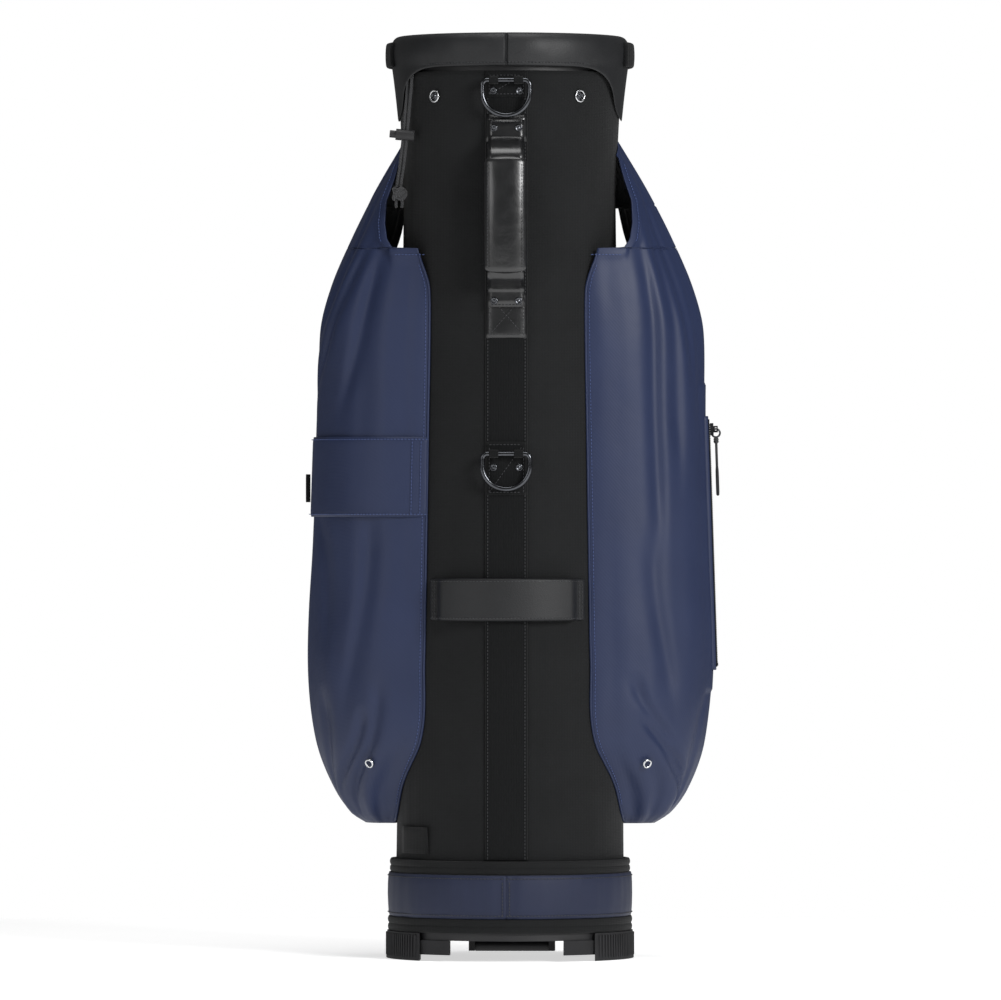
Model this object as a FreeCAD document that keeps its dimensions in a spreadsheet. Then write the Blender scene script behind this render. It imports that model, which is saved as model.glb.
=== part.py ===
import FreeCAD, Part
import math
import os
import re

import Sketcher
from FreeCAD import Placement, Rotation, Vector

# Golf stand bag. +Z up, the spine with its carry handle faces -Y, the belly with
# the folded legs faces +Y. The origin is the centre of the base at the floor.

SIZES = {
    # tube body of stiffened fabric
    "tube_low_radius": 112, "tube_waist_radius": 104, "tube_top_radius": 109.5,
    "tube_wall": 3, "tube_low_top": 98, "tube_waist_height": 745, "tube_top": 862,
    "cup_floor_low": 41, "cup_floor_top": 46, "cup_wall": 3.2, "cup_top": 97,
    # fits
    "seat_gap": 0.3, "run_gap": 0.06, "swing_gap": 0.5,
    # top collar, divider and cuff
    "collar_low": 850, "collar_top": 884, "collar_wall": 6, "bar_width": 6, "bar_low": 864,
    "well_pitch": 33, "cuff_radius": 114.5, "cuff_low": 866, "cuff_top": 899,
    "sleeve_thickness": 1.5, "stay_radius": 3, "stay_circle": 94,
    "lift_handle_low": 868, "lift_handle_top": 893, "lift_handle_reach": 34, "lift_handle_thick": 2.4,
    # base
    "skirt_low": 20, "skirt_inner_radius": 104, "trim_low": 27, "trim_thick": 4,
    "band_low": 41, "band_top": 84, "band_thick": 3.2, "piping_thick": 2,
    "foot_radius": 121, "foot_top": 26.7, "foot_inner_edge": 85, "step_inner_edge": 55, "step_low": 6,
    "rib_slot": 3.2, "rib_pitch": 12,
    # spine webbing, bands and tabs
    "web_left": -20.5, "web_right": 20.5, "web_thick": 1.4, "web_top": 861,
    "band_left": -74, "band_right": 74, "strap_low": 329, "strap_top": 371,
    "strap_lift": 7, "strap_thick": 2.2, "strap_end": 10, "tab_thick": 1.8,
    # rings
    "ring_wire": 2.4, "ring_half_width": 23, "ring_corner": 5, "ring_side": 11, "ring_offset": 6.4,
    "keeper_left": -16.5, "keeper_right": 16.5, "ring_centre": 0,
    "upper_ring_height": 852, "lower_ring_height": 491,
    # carry handle
    "handle_left": -19, "handle_right": 19, "handle_top": 815, "handle_bottom": 603,
    "grip_low": 660, "grip_top": 783, "grip_reach": 24, "handle_strap": 2.4, "grip_width": 41,
    "grip_depth": 14,
    # pockets
    "pocket_centre": 10, "ball_low": 101, "ball_top": 395, "ball_front": 138,
    "ball_back": 95, "ball_half_low": 70, "ball_half_top": 47,
    "pouch_low": 425, "pouch_top": 655, "pouch_front": 128, "pouch_back": 88,
    "pouch_half_low": 44, "pouch_half_top": 29, "channel_half": 7, "channel_front": 121.5,
    # legs and actuator
    "pivot_x": 33, "pivot_y": 120, "pivot_height": 770, "leg_foot_x": 88, "leg_foot_y": 109,
    "leg_foot_height": 78, "splay": 30, "leg_radius": 6.5, "knuckle_radius": 9, "knuckle_half": 9,
    "pin_radius": 2.5, "ear_thick": 4, "housing_half": 50, "housing_low": 752, "housing_top": 790,
    "housing_front": 106.8, "rod_y": 117, "rod_radius": 2.5, "rod_top": 722, "rod_bottom": 11.5,
    "pedal_half": 36, "pedal_low": 5, "pedal_top": 11, "pedal_hinge_y": 62, "pedal_tip": 127,
    "pedal_barrel": 5,
    # small fittings
    "snap_radius": 6.3, "snap_height": 838, "snap_angle": 40.3, "snap_thick": 3.2,
    "eyelet_x": 135, "eyelet_height": 191, "eyelet_radius": 5, "eyelet_bore": 2.6, "eyelet_thick": 1.6, "rivet_radius": 3, "rivet_thick": 1.6,
    "tape_width": 12, "tape_thick": 1.2, "slider_width": 8, "slider_length": 12, "slider_thick": 3.4,
    # elastic umbrella cord
    "cord_radius": 1.5, "lock_radius": 5.5, "lock_length": 18, "button_radius": 3.6,
    "button_travel": 2.5, "knot_radius": 6,
}

doc = FreeCAD.newDocument("golf_stand_bag")
sheet = doc.addObject("Spreadsheet::Sheet", "sizes")
for row, (alias, amount) in enumerate(SIZES.items(), start=1):
    sheet.set(f"A{row}", alias)
    sheet.set(f"B{row}", str(amount))
    sheet.setAlias(f"B{row}", alias)
doc.recompute()

NODES = []


def bound(text):
    """Write a size formula with the sheet's name before each of its sizes."""
    return re.sub(r"[a-z_]+[a-z]", lambda m: "sizes." + m.group(0) if m.group(0) in SIZES else m.group(0), str(text))


def value(text):
    """The present value of a size formula."""
    return float(sheet.evalExpression(bound(text)))


def fix(thing, prop, text):
    """Bind one property of an object to a size formula."""
    thing.setExpression(prop, bound(text))


def node(thing, label):
    """Name a finished sub-part."""
    thing.Label = label
    NODES.append(thing)
    return thing


# ------------------------------------------------------------------ helpers
def box(name, x, y, z):
    """A block between three pairs of size formulas."""
    block = doc.addObject("Part::Box", name)
    for side, low_high, axis in (("Length", x, "x"), ("Width", y, "y"), ("Height", z, "z")):
        fix(block, side, f"({low_high[1]}) - ({low_high[0]})")
        fix(block, f"Placement.Base.{axis}", low_high[0])
    return block


def rod(name, radius, start, end):
    """A round bar from one point to another, its radius bound to the sheet."""
    bar = doc.addObject("Part::Cylinder", name)
    run = end - start
    fix(bar, "Radius", radius)
    bar.Height = run.Length
    bar.Placement = Placement(start, Rotation(Vector(0, 0, 1), run))
    return bar


def combine(kind, name, first, *others):
    """Fuse, cut or intersect: kind is Fuse, Cut or Common."""
    result = first
    for index, other in enumerate(others):
        step = doc.addObject("Part::" + kind, f"{name}_{kind.lower()}_{index}")
        step.Base = result
        step.Tool = other
        result = step
    return result


def fuse(name, first, *others):
    return combine("Fuse", name, first, *others)


def cut(name, first, *others):
    return combine("Cut", name, first, *others)


def common(name, first, *others):
    return combine("Common", name, first, *others)


def group(name, parts):
    """Separate solids kept in one sub-part."""
    bundle = doc.addObject("Part::Compound", name)
    bundle.Links = parts
    return bundle


def outline(body, name, role, points):
    """A closed straight-sided sketch whose corners are bound to size formulas."""
    sketch = body.newObject("Sketcher::SketchObject", name)
    plane = [item for item in body.Origin.OriginFeatures if item.Role == role][0]
    sketch.AttachmentSupport = [(plane, "")]
    sketch.MapMode = "FlatFace"
    corners = [Vector(value(u), value(v), 0) for u, v in points]
    for index, corner in enumerate(corners):
        sketch.addGeometry(Part.LineSegment(corner, corners[(index + 1) % len(corners)]))
    for index in range(len(corners)):
        sketch.addConstraint(Sketcher.Constraint("Coincident", index, 2, (index + 1) % len(corners), 1))
    for index, (u, v) in enumerate(points):
        for axis, text, now, line in (("X", u, corners[index].x, -2), ("Y", v, corners[index].y, -1)):
            if abs(now) < 1e-9:
                sketch.addConstraint(Sketcher.Constraint("PointOnObject", index, 1, line))
                continue
            place = sketch.addConstraint(Sketcher.Constraint("Distance" + axis, -1, 1, index, 1, now))
            sketch.renameConstraint(place, f"{axis}{index}")
            fix(sketch, f"Constraints.{axis}{index}", text)
    return sketch


def turned(name, points):
    """A body turned about Z from a profile of (radius, height) formulas."""
    body = doc.addObject("PartDesign::Body", name)
    sketch = outline(body, name + "_profile", "XZ_Plane", points)
    turn = body.newObject("PartDesign::Revolution", name + "_turn")
    turn.Profile = sketch
    turn.ReferenceAxis = (sketch, ["V_Axis"])
    turn.Angle = 360
    return body


def slab(name, role, points, low, high):
    """A body padded from a straight-sided outline, between two offsets of its plane."""
    body = doc.addObject("PartDesign::Body", name)
    sketch = outline(body, name + "_outline", role, points)
    fix(sketch, "AttachmentOffset.Base.z", low)
    pad = body.newObject("PartDesign::Pad", name + "_pad")
    pad.Profile = sketch
    fix(pad, "Length", f"({high}) - ({low})")
    return body


def tube_radius(height):
    """Formula of the tube's outer radius at a height formula."""
    now = value(height)
    if now <= value("tube_low_top"):
        return "tube_low_radius"
    if now <= value("tube_waist_height"):
        return ("(tube_low_radius + (tube_waist_radius - tube_low_radius) * "
                f"(({height}) - tube_low_top) / (tube_waist_height - tube_low_top))")
    return ("(tube_waist_radius + (tube_top_radius - tube_waist_radius) * "
            f"(({height}) - tube_waist_height) / (tube_top - tube_waist_height))")


def heights_between(low, high):
    """The two heights with the tube's bends between them."""
    bends = [b for b in ("tube_low_top", "tube_waist_height") if value(low) < value(b) < value(high)]
    return [low] + bends + [high]


def skin(name, low, high, inner, outer):
    """A turned layer on the tube, from inner to outer above its surface."""
    levels = heights_between(low, high)
    points = [(f"{tube_radius(level)} + {outer}", level) for level in levels]
    points += [(f"{tube_radius(level)} + {inner}", level) for level in reversed(levels)]
    return turned(name, points)


def tube_block(name, low, high, grow):
    """The tube as a full solid, grown by a clearance, for cutting what seats on it."""
    levels = heights_between(low, high)
    points = [("0", low)] + [(f"{tube_radius(level)} + {grow}", level) for level in levels] + [("0", high)]
    return turned(name, points)


def patch(name, left, right, low, high, inner, outer):
    """A piece of skin on the spine side between two widths."""
    layer = skin(name + "_layer", low, high, inner, outer)
    window = box(name + "_window", (left, right), ("0 - cuff_radius - strap_lift - strap_thick - 20", "0"),
                 (f"({low}) - 1", f"({high}) + 1"))
    return common(name, layer, window)


def spot(angle_deg, radius, height):
    """A point by its angle from -Y towards +X."""
    angle = math.radians(angle_deg)
    return Vector(radius * math.sin(angle), -radius * math.cos(angle), height)


# ------------------------------------------------------------------ tube, top and inside
def make_tube():
    levels = heights_between("cup_floor_top + seat_gap", "tube_top")
    points = [(tube_radius(level), level) for level in levels]
    points += [(f"{tube_radius(level)} - tube_wall", level) for level in reversed(levels)]
    node(turned("tube_shell", points), "tube_shell")


def make_top():
    mouth = f"{tube_radius('collar_low')} - tube_wall - seat_gap"
    node(turned("collar_ring", [
        (f"{mouth} - collar_wall", "collar_low"), (mouth, "collar_low"), (mouth, "collar_top"),
        (f"{mouth} - collar_wall", "collar_top")]), "collar_ring")
    inner = f"{mouth} - collar_wall - 0.1"
    disc = turned("divider_disc", [("0", "bar_low"), (inner, "bar_low"), (inner, "collar_top"), ("0", "collar_top")])
    bars = [box("bar_middle", ("0 - cuff_radius", "cuff_radius"), ("0 - bar_width / 2", "bar_width / 2"),
                ("bar_low", "collar_top"))]
    for side in ("0 - well_pitch", "well_pitch"):
        bars.append(box("bar_cross", (f"{side} - bar_width / 2", f"{side} + bar_width / 2"),
                        ("0 - cuff_radius", "cuff_radius"), ("bar_low", "collar_top")))
    node(common("divider_frame", fuse("divider_bars", *bars), disc), "divider_frame")

    reach = "tube_waist_radius - tube_wall - 1"
    low, high = "cup_floor_top + seat_gap", "bar_low - seat_gap"
    core = turned("sleeve_core", [("0", low), (reach, low), (reach, "collar_low - 2"),
                                  (f"{mouth} - collar_wall - 1", f"collar_low - 1"),
                                  (f"{mouth} - collar_wall - 1", high), ("0", high)])
    sheets = [box("sleeve_middle", ("0 - cuff_radius", "cuff_radius"),
                  ("0 - sleeve_thickness / 2", "sleeve_thickness / 2"), (low, high))]
    for side in ("0 - well_pitch", "well_pitch"):
        sheets.append(box("sleeve_cross", (f"{side} - sleeve_thickness / 2", f"{side} + sleeve_thickness / 2"),
                          ("0 - cuff_radius", "cuff_radius"), (low, high)))
    node(common("divider_sleeves", fuse("sleeve_sheets", *sheets), core), "divider_sleeves")

    stays = []
    for quarter in range(4):
        angle = 62 + 56 * (quarter % 2) + 180 * (quarter // 2)
        foot = spot(angle, value("stay_circle"), value("cup_floor_top + seat_gap"))
        stays.append(rod("stay_rod", "stay_radius", foot, foot + Vector(0, 0, value(
            "collar_low - cup_floor_top - 2 * seat_gap"))))
    node(group("stay_rods", stays), "stay_rods")

    lip = "tube_top + seat_gap"
    skirt = f"{tube_radius('tube_top')} + seat_gap"
    node(turned("cuff", [
        (skirt, "cuff_low"), (f"{skirt}", "cuff_low - 1"), ("cuff_radius - 1.5", "cuff_low - 1"),
        ("cuff_radius", "cuff_low + 4"), ("cuff_radius", "cuff_top - 8"), ("cuff_radius - 3", "cuff_top - 2"),
        ("cuff_radius - 7", "cuff_top"), (f"{mouth} - 1", "cuff_top - 1"),
        (f"{mouth} - collar_wall", "cuff_top - 6"), (f"{mouth} - collar_wall", "collar_top + seat_gap"),
        (f"{mouth} + seat_gap", "collar_top + seat_gap"), (f"{mouth} + seat_gap", lip), (skirt, lip)]), "cuff")
    ring = turned("lift_handle_ring", [
        ("cuff_radius + 0.1", "lift_handle_low"), ("cuff_radius + lift_handle_thick", "lift_handle_low"),
        ("cuff_radius + lift_handle_thick", "lift_handle_top"), ("cuff_radius + 0.1", "lift_handle_top")])
    window = box("lift_handle_window", ("0 - cuff_radius - 10", "cuff_radius + 10"),
                 ("0 - lift_handle_reach", "lift_handle_reach"), ("lift_handle_low - 1", "lift_handle_top + 1"))
    node(common("side_lift_handles", ring, window), "side_lift_handles")


# ------------------------------------------------------------------ base
def belly_slot(name, half, depth, low, high):
    """The space in the base that the actuator rod or the foot plate moves in."""
    return box(name, (f"0 - ({half})", half), (depth, "foot_radius + 10"), (low, high))


def make_base():
    low_r = "tube_low_radius"
    inner, outer = f"{low_r} + seat_gap", f"{low_r} + seat_gap + cup_wall"
    cup = turned("cup_turn", [
        ("0", "cup_floor_low"), ("skirt_inner_radius", "cup_floor_low"), ("skirt_inner_radius", "skirt_low"),
        (outer, "skirt_low"), (outer, "cup_top"), (inner, "cup_top"), (inner, "cup_floor_top"),
        ("0", "cup_floor_top")])
    ears = [box("pedal_ear", (f"{left}", f"{left} + 6"), ("pedal_hinge_y - 9", "pedal_hinge_y + 9"),
                ("pedal_low - 1.5", "cup_floor_low"))
            for left in ("pedal_half + seat_gap", "0 - pedal_half - seat_gap - 6")]
    pin_start = Vector(value("0 - pedal_half - 6"), value("pedal_hinge_y"), value("(pedal_low + pedal_top) / 2"))
    pin_end = Vector(value("pedal_half + 6"), pin_start.y, pin_start.z)
    bore = rod("pedal_ear_bore", "pin_radius", pin_start - Vector(5, 0, 0), pin_end + Vector(5, 0, 0))
    slots = [belly_slot("cup_rod_slot", "rod_radius + 1.5", "rod_y - 20", "cup_floor_low - 1", "cup_top + 1"),
             belly_slot("cup_pedal_slot", "pedal_half + 2", "pedal_hinge_y + 16", "0", "cup_floor_low")]
    node(cut("base_cup", fuse("cup_body", cup, *ears), *slots, bore), "base_cup")
    node(rod("pedal_pin", "pin_radius", pin_start, pin_end), "foot_plate_pin")

    def wrap(label, points, *notches):
        node(cut(label, turned(label + "_turn", points), *notches), label)

    start = f"{outer} + 0.1"
    half = "rod_radius + 1.5"
    wrap("base_band", [
        (start, "band_low + 0.1"), (f"{start} + band_thick", "band_low + 2"),
        (f"{start} + band_thick + 0.8", "(band_low + band_top) / 2"), (f"{start} + band_thick", "band_top - 2"),
        (start, "band_top - 0.1")], belly_slot("band_slot", half, "rod_y - 20", "band_low - 1", "band_top + 1"))
    wrap("base_trim_upper", [
        (start, "band_top"), (f"{start} + piping_thick", "band_top"), (f"{start} + piping_thick", "cup_top"),
        (start, "cup_top")], belly_slot("upper_slot", half, "rod_y - 20", "band_top - 1", "cup_top + 1"))
    wrap("base_trim_lower", [
        (start, "trim_low"), (f"{start} + trim_thick", "trim_low"), (f"{start} + trim_thick", "band_low"),
        (start, "band_low")], belly_slot("lower_slot", "pedal_half + 2", "pedal_hinge_y + 16", "0", "band_low + 1"))

    for side, label in ((-1, "base_foot_left"), (1, "base_foot_right")):
        ring = turned(label + "_ring", [("skirt_inner_radius - 3", "0"), ("foot_radius", "0"),
                                        ("foot_radius - 1", "foot_top"), (f"{outer} + 0.1", "foot_top"),
                                        (f"{outer} + 0.1", "skirt_low - 0.1"),
                                        ("skirt_inner_radius - 3", "skirt_low - 0.1")])
        step = turned(label + "_step_ring", [("skirt_inner_radius - 3", "step_low"), ("foot_radius - 3", "step_low"),
                                             ("foot_radius - 3", "skirt_low - 0.1"),
                                             ("skirt_inner_radius - 3", "skirt_low - 0.1")])

        def span(low, high):
            return (low, high) if side > 0 else (f"0 - ({high})", f"0 - ({low})")

        foot = common(label + "_arc", ring, box(label + "_window", span("foot_inner_edge", "foot_radius + 5"),
                                                ("0 - foot_radius", "foot_radius"), ("0 - 1", "foot_top + 1")))
        ledge = common(label + "_step", step, box(label + "_step_window", span("step_inner_edge", "foot_inner_edge + 1"),
                                                  ("0 - foot_radius", "0 - 60"), ("0 - 1", "foot_top + 1")))
        slots = []
        for count in range(9):
            middle = f"{count - 4} * rib_pitch"
            slots.append(box(label + "_rib_slot", span("foot_radius - 7.5", "foot_radius + 5"),
                             (f"{middle} - rib_slot / 2", f"{middle} + rib_slot / 2"), ("3", "foot_top - 7")))
        for count in range(3):
            middle = f"foot_inner_edge + 6 + {count} * (rib_slot + 5.5)"
            slots.append(box(label + "_front_slot", span(f"{middle} - rib_slot / 2", f"{middle} + rib_slot / 2"),
                             ("0 - foot_radius", f"0 - {96 - 12 * count}"), ("3", "foot_top - 7")))
        node(cut(label, fuse(label + "_body", foot, ledge), *slots), label)


def make_pedal():
    middle = "(pedal_low + pedal_top) / 2"
    plate = box("pedal_plate", ("0 - pedal_half", "pedal_half"), ("pedal_hinge_y", "pedal_tip"),
                ("pedal_low", "pedal_top"))
    start = Vector(value("0 - pedal_half"), value("pedal_hinge_y"), value(middle))
    end = Vector(value("pedal_half"), start.y, start.z)
    barrel = rod("pedal_barrel", "pedal_barrel", start, end)
    bore = rod("pedal_bore", "pin_radius + run_gap", start - Vector(1, 0, 0), end + Vector(1, 0, 0))
    node(cut("foot_plate", fuse("pedal_body", plate, barrel), bore), "foot_plate")


# ------------------------------------------------------------------ spine side
def make_spine():
    node(patch("spine_webbing", "web_left", "web_right", "tube_low_top + 1", "web_top", "0.1", "web_thick"),
         "spine_webbing")
    node(patch("base_corner_tab", "0 - 103", "0 - 76", "103", "129", "0.2", "1.5"), "base_corner_tab")

    strap = [patch("cart_middle", "band_left", "band_right", "strap_low", "strap_top", "strap_lift",
                   "strap_lift + strap_thick")]
    for left, right in (("band_left", "band_left + strap_end"), ("band_right - strap_end", "band_right")):
        strap.append(patch("cart_end", left, right, "strap_low", "strap_top", "0.2", "strap_lift + strap_thick"))
    node(fuse("cart_strap_band", *strap), "cart_strap_band")

    def tab(name, low, high):
        return patch(name, "web_left + 1.5", "web_right - 1.5", low, high, "web_thick + 0.1",
                     "web_thick + 0.1 + tab_thick")

    node(tab("upper_ring_tab", "upper_ring_height - 16", "upper_ring_height + 8"), "upper_ring_tab")
    node(tab("lower_ring_tab", "lower_ring_height - 40", "lower_ring_height + 12"), "lower_ring_tab")
    node(group("handle_tabs", [tab("handle_upper_tab", "handle_top - 22", "handle_top + 4"),
                               tab("handle_lower_tab", "handle_bottom", "handle_bottom + 44")]), "handle_tabs")


def ring_y(height):
    """Depth of a D-ring's bar in front of the tube."""
    return value(f"0 - {tube_radius(height)} - web_thick - tab_thick - ring_offset")


def make_rings():
    keepers = []
    for label, height in (("upper", "upper_ring_height"), ("lower", "lower_ring_height")):
        centre = Vector(value("ring_centre"), ring_y(height), value(height))
        body = doc.addObject("PartDesign::Body", label + "_d_ring")
        planes = {item.Role: item for item in body.Origin.OriginFeatures}
        path = body.newObject("Sketcher::SketchObject", label + "_ring_path")
        path.AttachmentSupport = [(planes["XZ_Plane"], "")]
        path.MapMode = "FlatFace"
        corner, reach, side = value("ring_corner"), value("ring_half_width"), value("ring_side")
        flat = reach - corner
        path.addGeometry(Part.LineSegment(Vector(-flat, 0, 0), Vector(flat, 0, 0)))
        path.addGeometry(Part.ArcOfCircle(Part.Circle(Vector(flat, -corner, 0), Vector(0, 0, 1), corner),
                                          0, math.pi / 2))
        path.addGeometry(Part.LineSegment(Vector(reach, -corner, 0), Vector(reach, -side, 0)))
        path.addGeometry(Part.ArcOfCircle(Part.Circle(Vector(0, -side, 0), Vector(0, 0, 1), reach),
                                          math.pi, 2 * math.pi))
        path.addGeometry(Part.LineSegment(Vector(-reach, -side, 0), Vector(-reach, -corner, 0)))
        path.addGeometry(Part.ArcOfCircle(Part.Circle(Vector(-flat, -corner, 0), Vector(0, 0, 1), corner),
                                          math.pi / 2, math.pi))
        wire = body.newObject("Sketcher::SketchObject", label + "_ring_wire")
        wire.AttachmentSupport = [(planes["YZ_Plane"], "")]
        wire.MapMode = "FlatFace"
        wire.addGeometry(Part.Circle(Vector(0, 0, 0), Vector(0, 0, 1), value("ring_wire")))
        size = wire.addConstraint(Sketcher.Constraint("Radius", 0, value("ring_wire")))
        wire.renameConstraint(size, "wire")
        fix(wire, "Constraints.wire", "ring_wire")
        doc.recompute()
        pipe = body.newObject("PartDesign::AdditivePipe", label + "_ring_pipe")
        pipe.Profile = wire
        pipe.Spine = (path, [f"Edge{edge}" for edge in range(1, 7)])
        body.Placement = Placement(centre, Rotation())
        node(body, label + "_d_ring")

        back = f"0 - {tube_radius(height)} - web_thick - tab_thick - 0.2"
        loop = rod(label + "_keeper_round", "ring_offset - 0.4", Vector(value("keeper_left"), centre.y, centre.z),
                   Vector(value("keeper_right"), centre.y, centre.z))
        saddle = box(label + "_keeper_saddle", ("keeper_left", "keeper_right"), (str(centre.y), back),
                     (f"{height} - ring_offset + 0.4", f"{height} + ring_offset - 0.4"))
        seat = tube_block(label + "_keeper_seat", f"{height} - 20", f"{height} + 12",
                          "web_thick + tab_thick + 0.25")
        hole = rod(label + "_keeper_bore", "ring_wire + seat_gap", Vector(value("keeper_left - 1"), centre.y, centre.z),
                   Vector(value("keeper_right + 1"), centre.y, centre.z))
        keepers.append(cut(label + "_keeper_cut", fuse(label + "_keeper_body", loop, saddle), seat, hole))
    node(group("ring_keepers", keepers), "ring_keepers")


def make_handle():
    top, bottom = "handle_top", "grip_low - 27"
    out = "web_thick + tab_thick + 0.3"
    thick = "handle_strap"

    def side(height, lift):
        return (f"0 - {tube_radius(height)} - ({lift})", height)

    reach = f"{out} + grip_reach"
    inner = [side(f"{top} - 1", out), side("grip_top + 14", out), side("grip_top", reach), side("grip_low", reach),
             side("grip_low - 14", out), side(bottom, out)]
    outer = [side(f"{top} - 1", f"{out} + {thick}"), side("grip_top + 15", f"{out} + {thick}"),
             side("grip_top", f"{reach} + {thick}"), side("grip_low", f"{reach} + {thick}"),
             side("grip_low - 15", f"{out} + {thick}"), side(bottom, f"{out} + {thick}")]
    strap = slab("handle_strap_core", "YZ_Plane", inner + outer[::-1], "handle_left + 2", "handle_right - 2")
    node(cut("handle_strap_cut", strap, tube_block("handle_seat", "handle_bottom", "handle_top + 5",
                                                   "web_thick + tab_thick + 0.25")), "handle_strap")
    middle = value(f"0 - {tube_radius('grip_low')} - ({reach}) - {thick} / 2")
    grip = doc.addObject("Part::Box", "grip_block")
    fix(grip, "Length", "grip_width")
    fix(grip, "Width", "grip_depth")
    fix(grip, "Height", "grip_top - grip_low - 8")
    grip.Placement = Placement(Vector(value("ring_centre - grip_width / 2"), middle - value("grip_depth / 2"),
                                      value("grip_low + 4")), Rotation())
    doc.recompute()
    soft = doc.addObject("Part::Fillet", "grip_soft")
    soft.Base = grip
    soft.Edges = [(edge, 5.5, 5.5) for edge in range(1, 13)]
    node(cut("handle_grip", soft, doc.getObject("handle_strap_core")), "handle_grip")


# ------------------------------------------------------------------ pockets
POCKET_LEVELS = [  # height, reach from the tube axis, half depth, half width of the oval
    (131, 143, 20, 24), (141, 160, 34, 42), (165, 177, 50, 62), (212, 192, 82, 100), (290, 199, 86, 103),
    (405, 195.4, 86, 102), (520, 191.5, 86, 99), (610, 190, 86, 98), (655, 179, 84, 92), (700, 160, 76, 80),
    (745, 137, 60, 64), (800, 105, 40, 46)]


def pocket_loft(name, side, grow):
    """The outer shape of a side pocket, grown by a clearance; side is -1 or 1."""
    sections = []
    for index, (height, reach, half_depth, half_width) in enumerate(POCKET_LEVELS):
        oval = doc.addObject("Part::Ellipse", f"{name}_oval_{index}")
        oval.Placement.Rotation = Rotation(Vector(0, 0, 1), 90 + 90 * side)  # its seam is inside the tube
        fix(oval, "MajorRadius", f"{half_width} + {grow}")
        fix(oval, "MinorRadius", f"{half_depth} + {grow}")
        fix(oval, "Placement.Base.x", f"{side} * ({reach} - {half_width})")
        fix(oval, "Placement.Base.y", "pocket_centre")
        oval.Placement.Base.z = height
        sections.append(oval)
    loft = doc.addObject("Part::Loft", name)
    loft.Sections = sections
    loft.Solid = True
    loft.Ruled = False
    return loft


def surface_y(thing, x, z):
    """Where the spine-side surface of a shape lies at a width and height."""
    line = Part.makeLine(Vector(x, -300, z), Vector(x, 0, z))
    return min(vertex.Y for vertex in thing.Shape.common(line).Vertexes)


def surface_x(thing, y, z):
    """How far out the right-hand surface of a shape lies at a depth and height."""
    line = Part.makeLine(Vector(0, y, z), Vector(300, y, z))
    return max(vertex.X for vertex in thing.Shape.common(line).Vertexes)


def make_side_pockets():
    for side, name in ((-1, "left"), (1, "right")):
        loft = pocket_loft(f"{name}_pocket_loft", side, "0")
        tube = tube_block(f"{name}_pocket_seat", "100", "860", "seat_gap")

        def span(low, high):
            return (low, high) if side > 0 else (f"0 - ({high})", f"0 - ({low})")

        near = slab(f"{name}_near_armhole", "XZ_Plane", [
            (f"{side * 60}", "692"), (f"{side * 117}", "692"), (f"{side * 121}", "716"), (f"{side * 120}", "738"),
            (f"{side * 112}", "760"), (f"{side * 106}", "782"), (f"{side * 60}", "782")], "0 - 10", "200")
        far = slab(f"{name}_far_armhole", "XZ_Plane", [
            (f"{side * 60}", "694"), (f"{side * 114}", "694"), (f"{side * 108}", "722"), (f"{side * 106}", "745"),
            (f"{side * 60}", "745")], "0 - 200", "0 - 9")
        pocket = cut(f"{name}_pocket_cut", loft, tube, near, far)
        node(pocket, f"{name}_side_pocket")


def make_belly_pockets():
    tube = tube_block("belly_seat", "100", "860", "seat_gap")
    channel = box("rod_channel", ("0 - channel_half", "channel_half"), ("60", "channel_front"), ("90", "700"))
    for label, low, high, half_low, half_top, front, back in (
            ("ball_pocket", "ball_low", "ball_top", "ball_half_low", "ball_half_top", "ball_front", "ball_back"),
            ("accessory_pocket", "pouch_low", "pouch_top", "pouch_half_low", "pouch_half_top", "pouch_front",
             "pouch_back")):
        body = slab(label + "_body", "XZ_Plane", [
            (f"0 - {half_low}", low), (half_low, low), (half_top, high), (f"0 - {half_top}", high)],
            f"0 - {front}", f"0 - {back}")
        node(cut(label, body, tube, channel), label)


# ------------------------------------------------------------------ legs
def leg_frame(side):
    """Pivot point, hinge direction and leg direction of one leg; side is -1 or 1."""
    pivot = Vector(side * value("pivot_x"), value("pivot_y"), value("pivot_height"))
    foot = Vector(side * value("leg_foot_x"), value("leg_foot_y"), value("leg_foot_height"))
    angle = math.radians(value("splay"))
    hinge = Vector(math.cos(angle), -side * math.sin(angle), 0)
    return pivot, hinge, foot


def make_legs():
    for side, name in ((-1, "left"), (1, "right")):
        pivot, hinge, foot = leg_frame(side)
        run = foot - pivot
        way = run * (1 / run.Length)
        half = value("knuckle_half")
        node(rod(f"leg_{name}_tube", "leg_radius", pivot + way * 14, foot), f"leg_{name}_tube")
        knuckle = rod(f"{name}_knuckle", "knuckle_radius", pivot - hinge * half, pivot + hinge * half)
        socket = rod(f"{name}_socket", "leg_radius + 1.7", pivot + way * 4, pivot + way * 40)
        bore = rod(f"{name}_knuckle_bore", "pin_radius + run_gap", pivot - hinge * 20, pivot + hinge * 20)
        well = rod(f"{name}_socket_bore", "leg_radius + run_gap", pivot + way * 13.9, pivot + way * 60)
        node(cut(f"{name}_leg_head", fuse(f"{name}_head_body", knuckle, socket), bore, well), f"leg_{name}_head")
        boot = rod(f"{name}_boot", "leg_radius + 3", foot - way * 26, foot + way * 9)
        inside = rod(f"{name}_boot_bore", "leg_radius + run_gap", foot - way * 40, foot + way * 0.1)
        node(cut(f"{name}_leg_foot", boot, inside), f"leg_{name}_foot")


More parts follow.
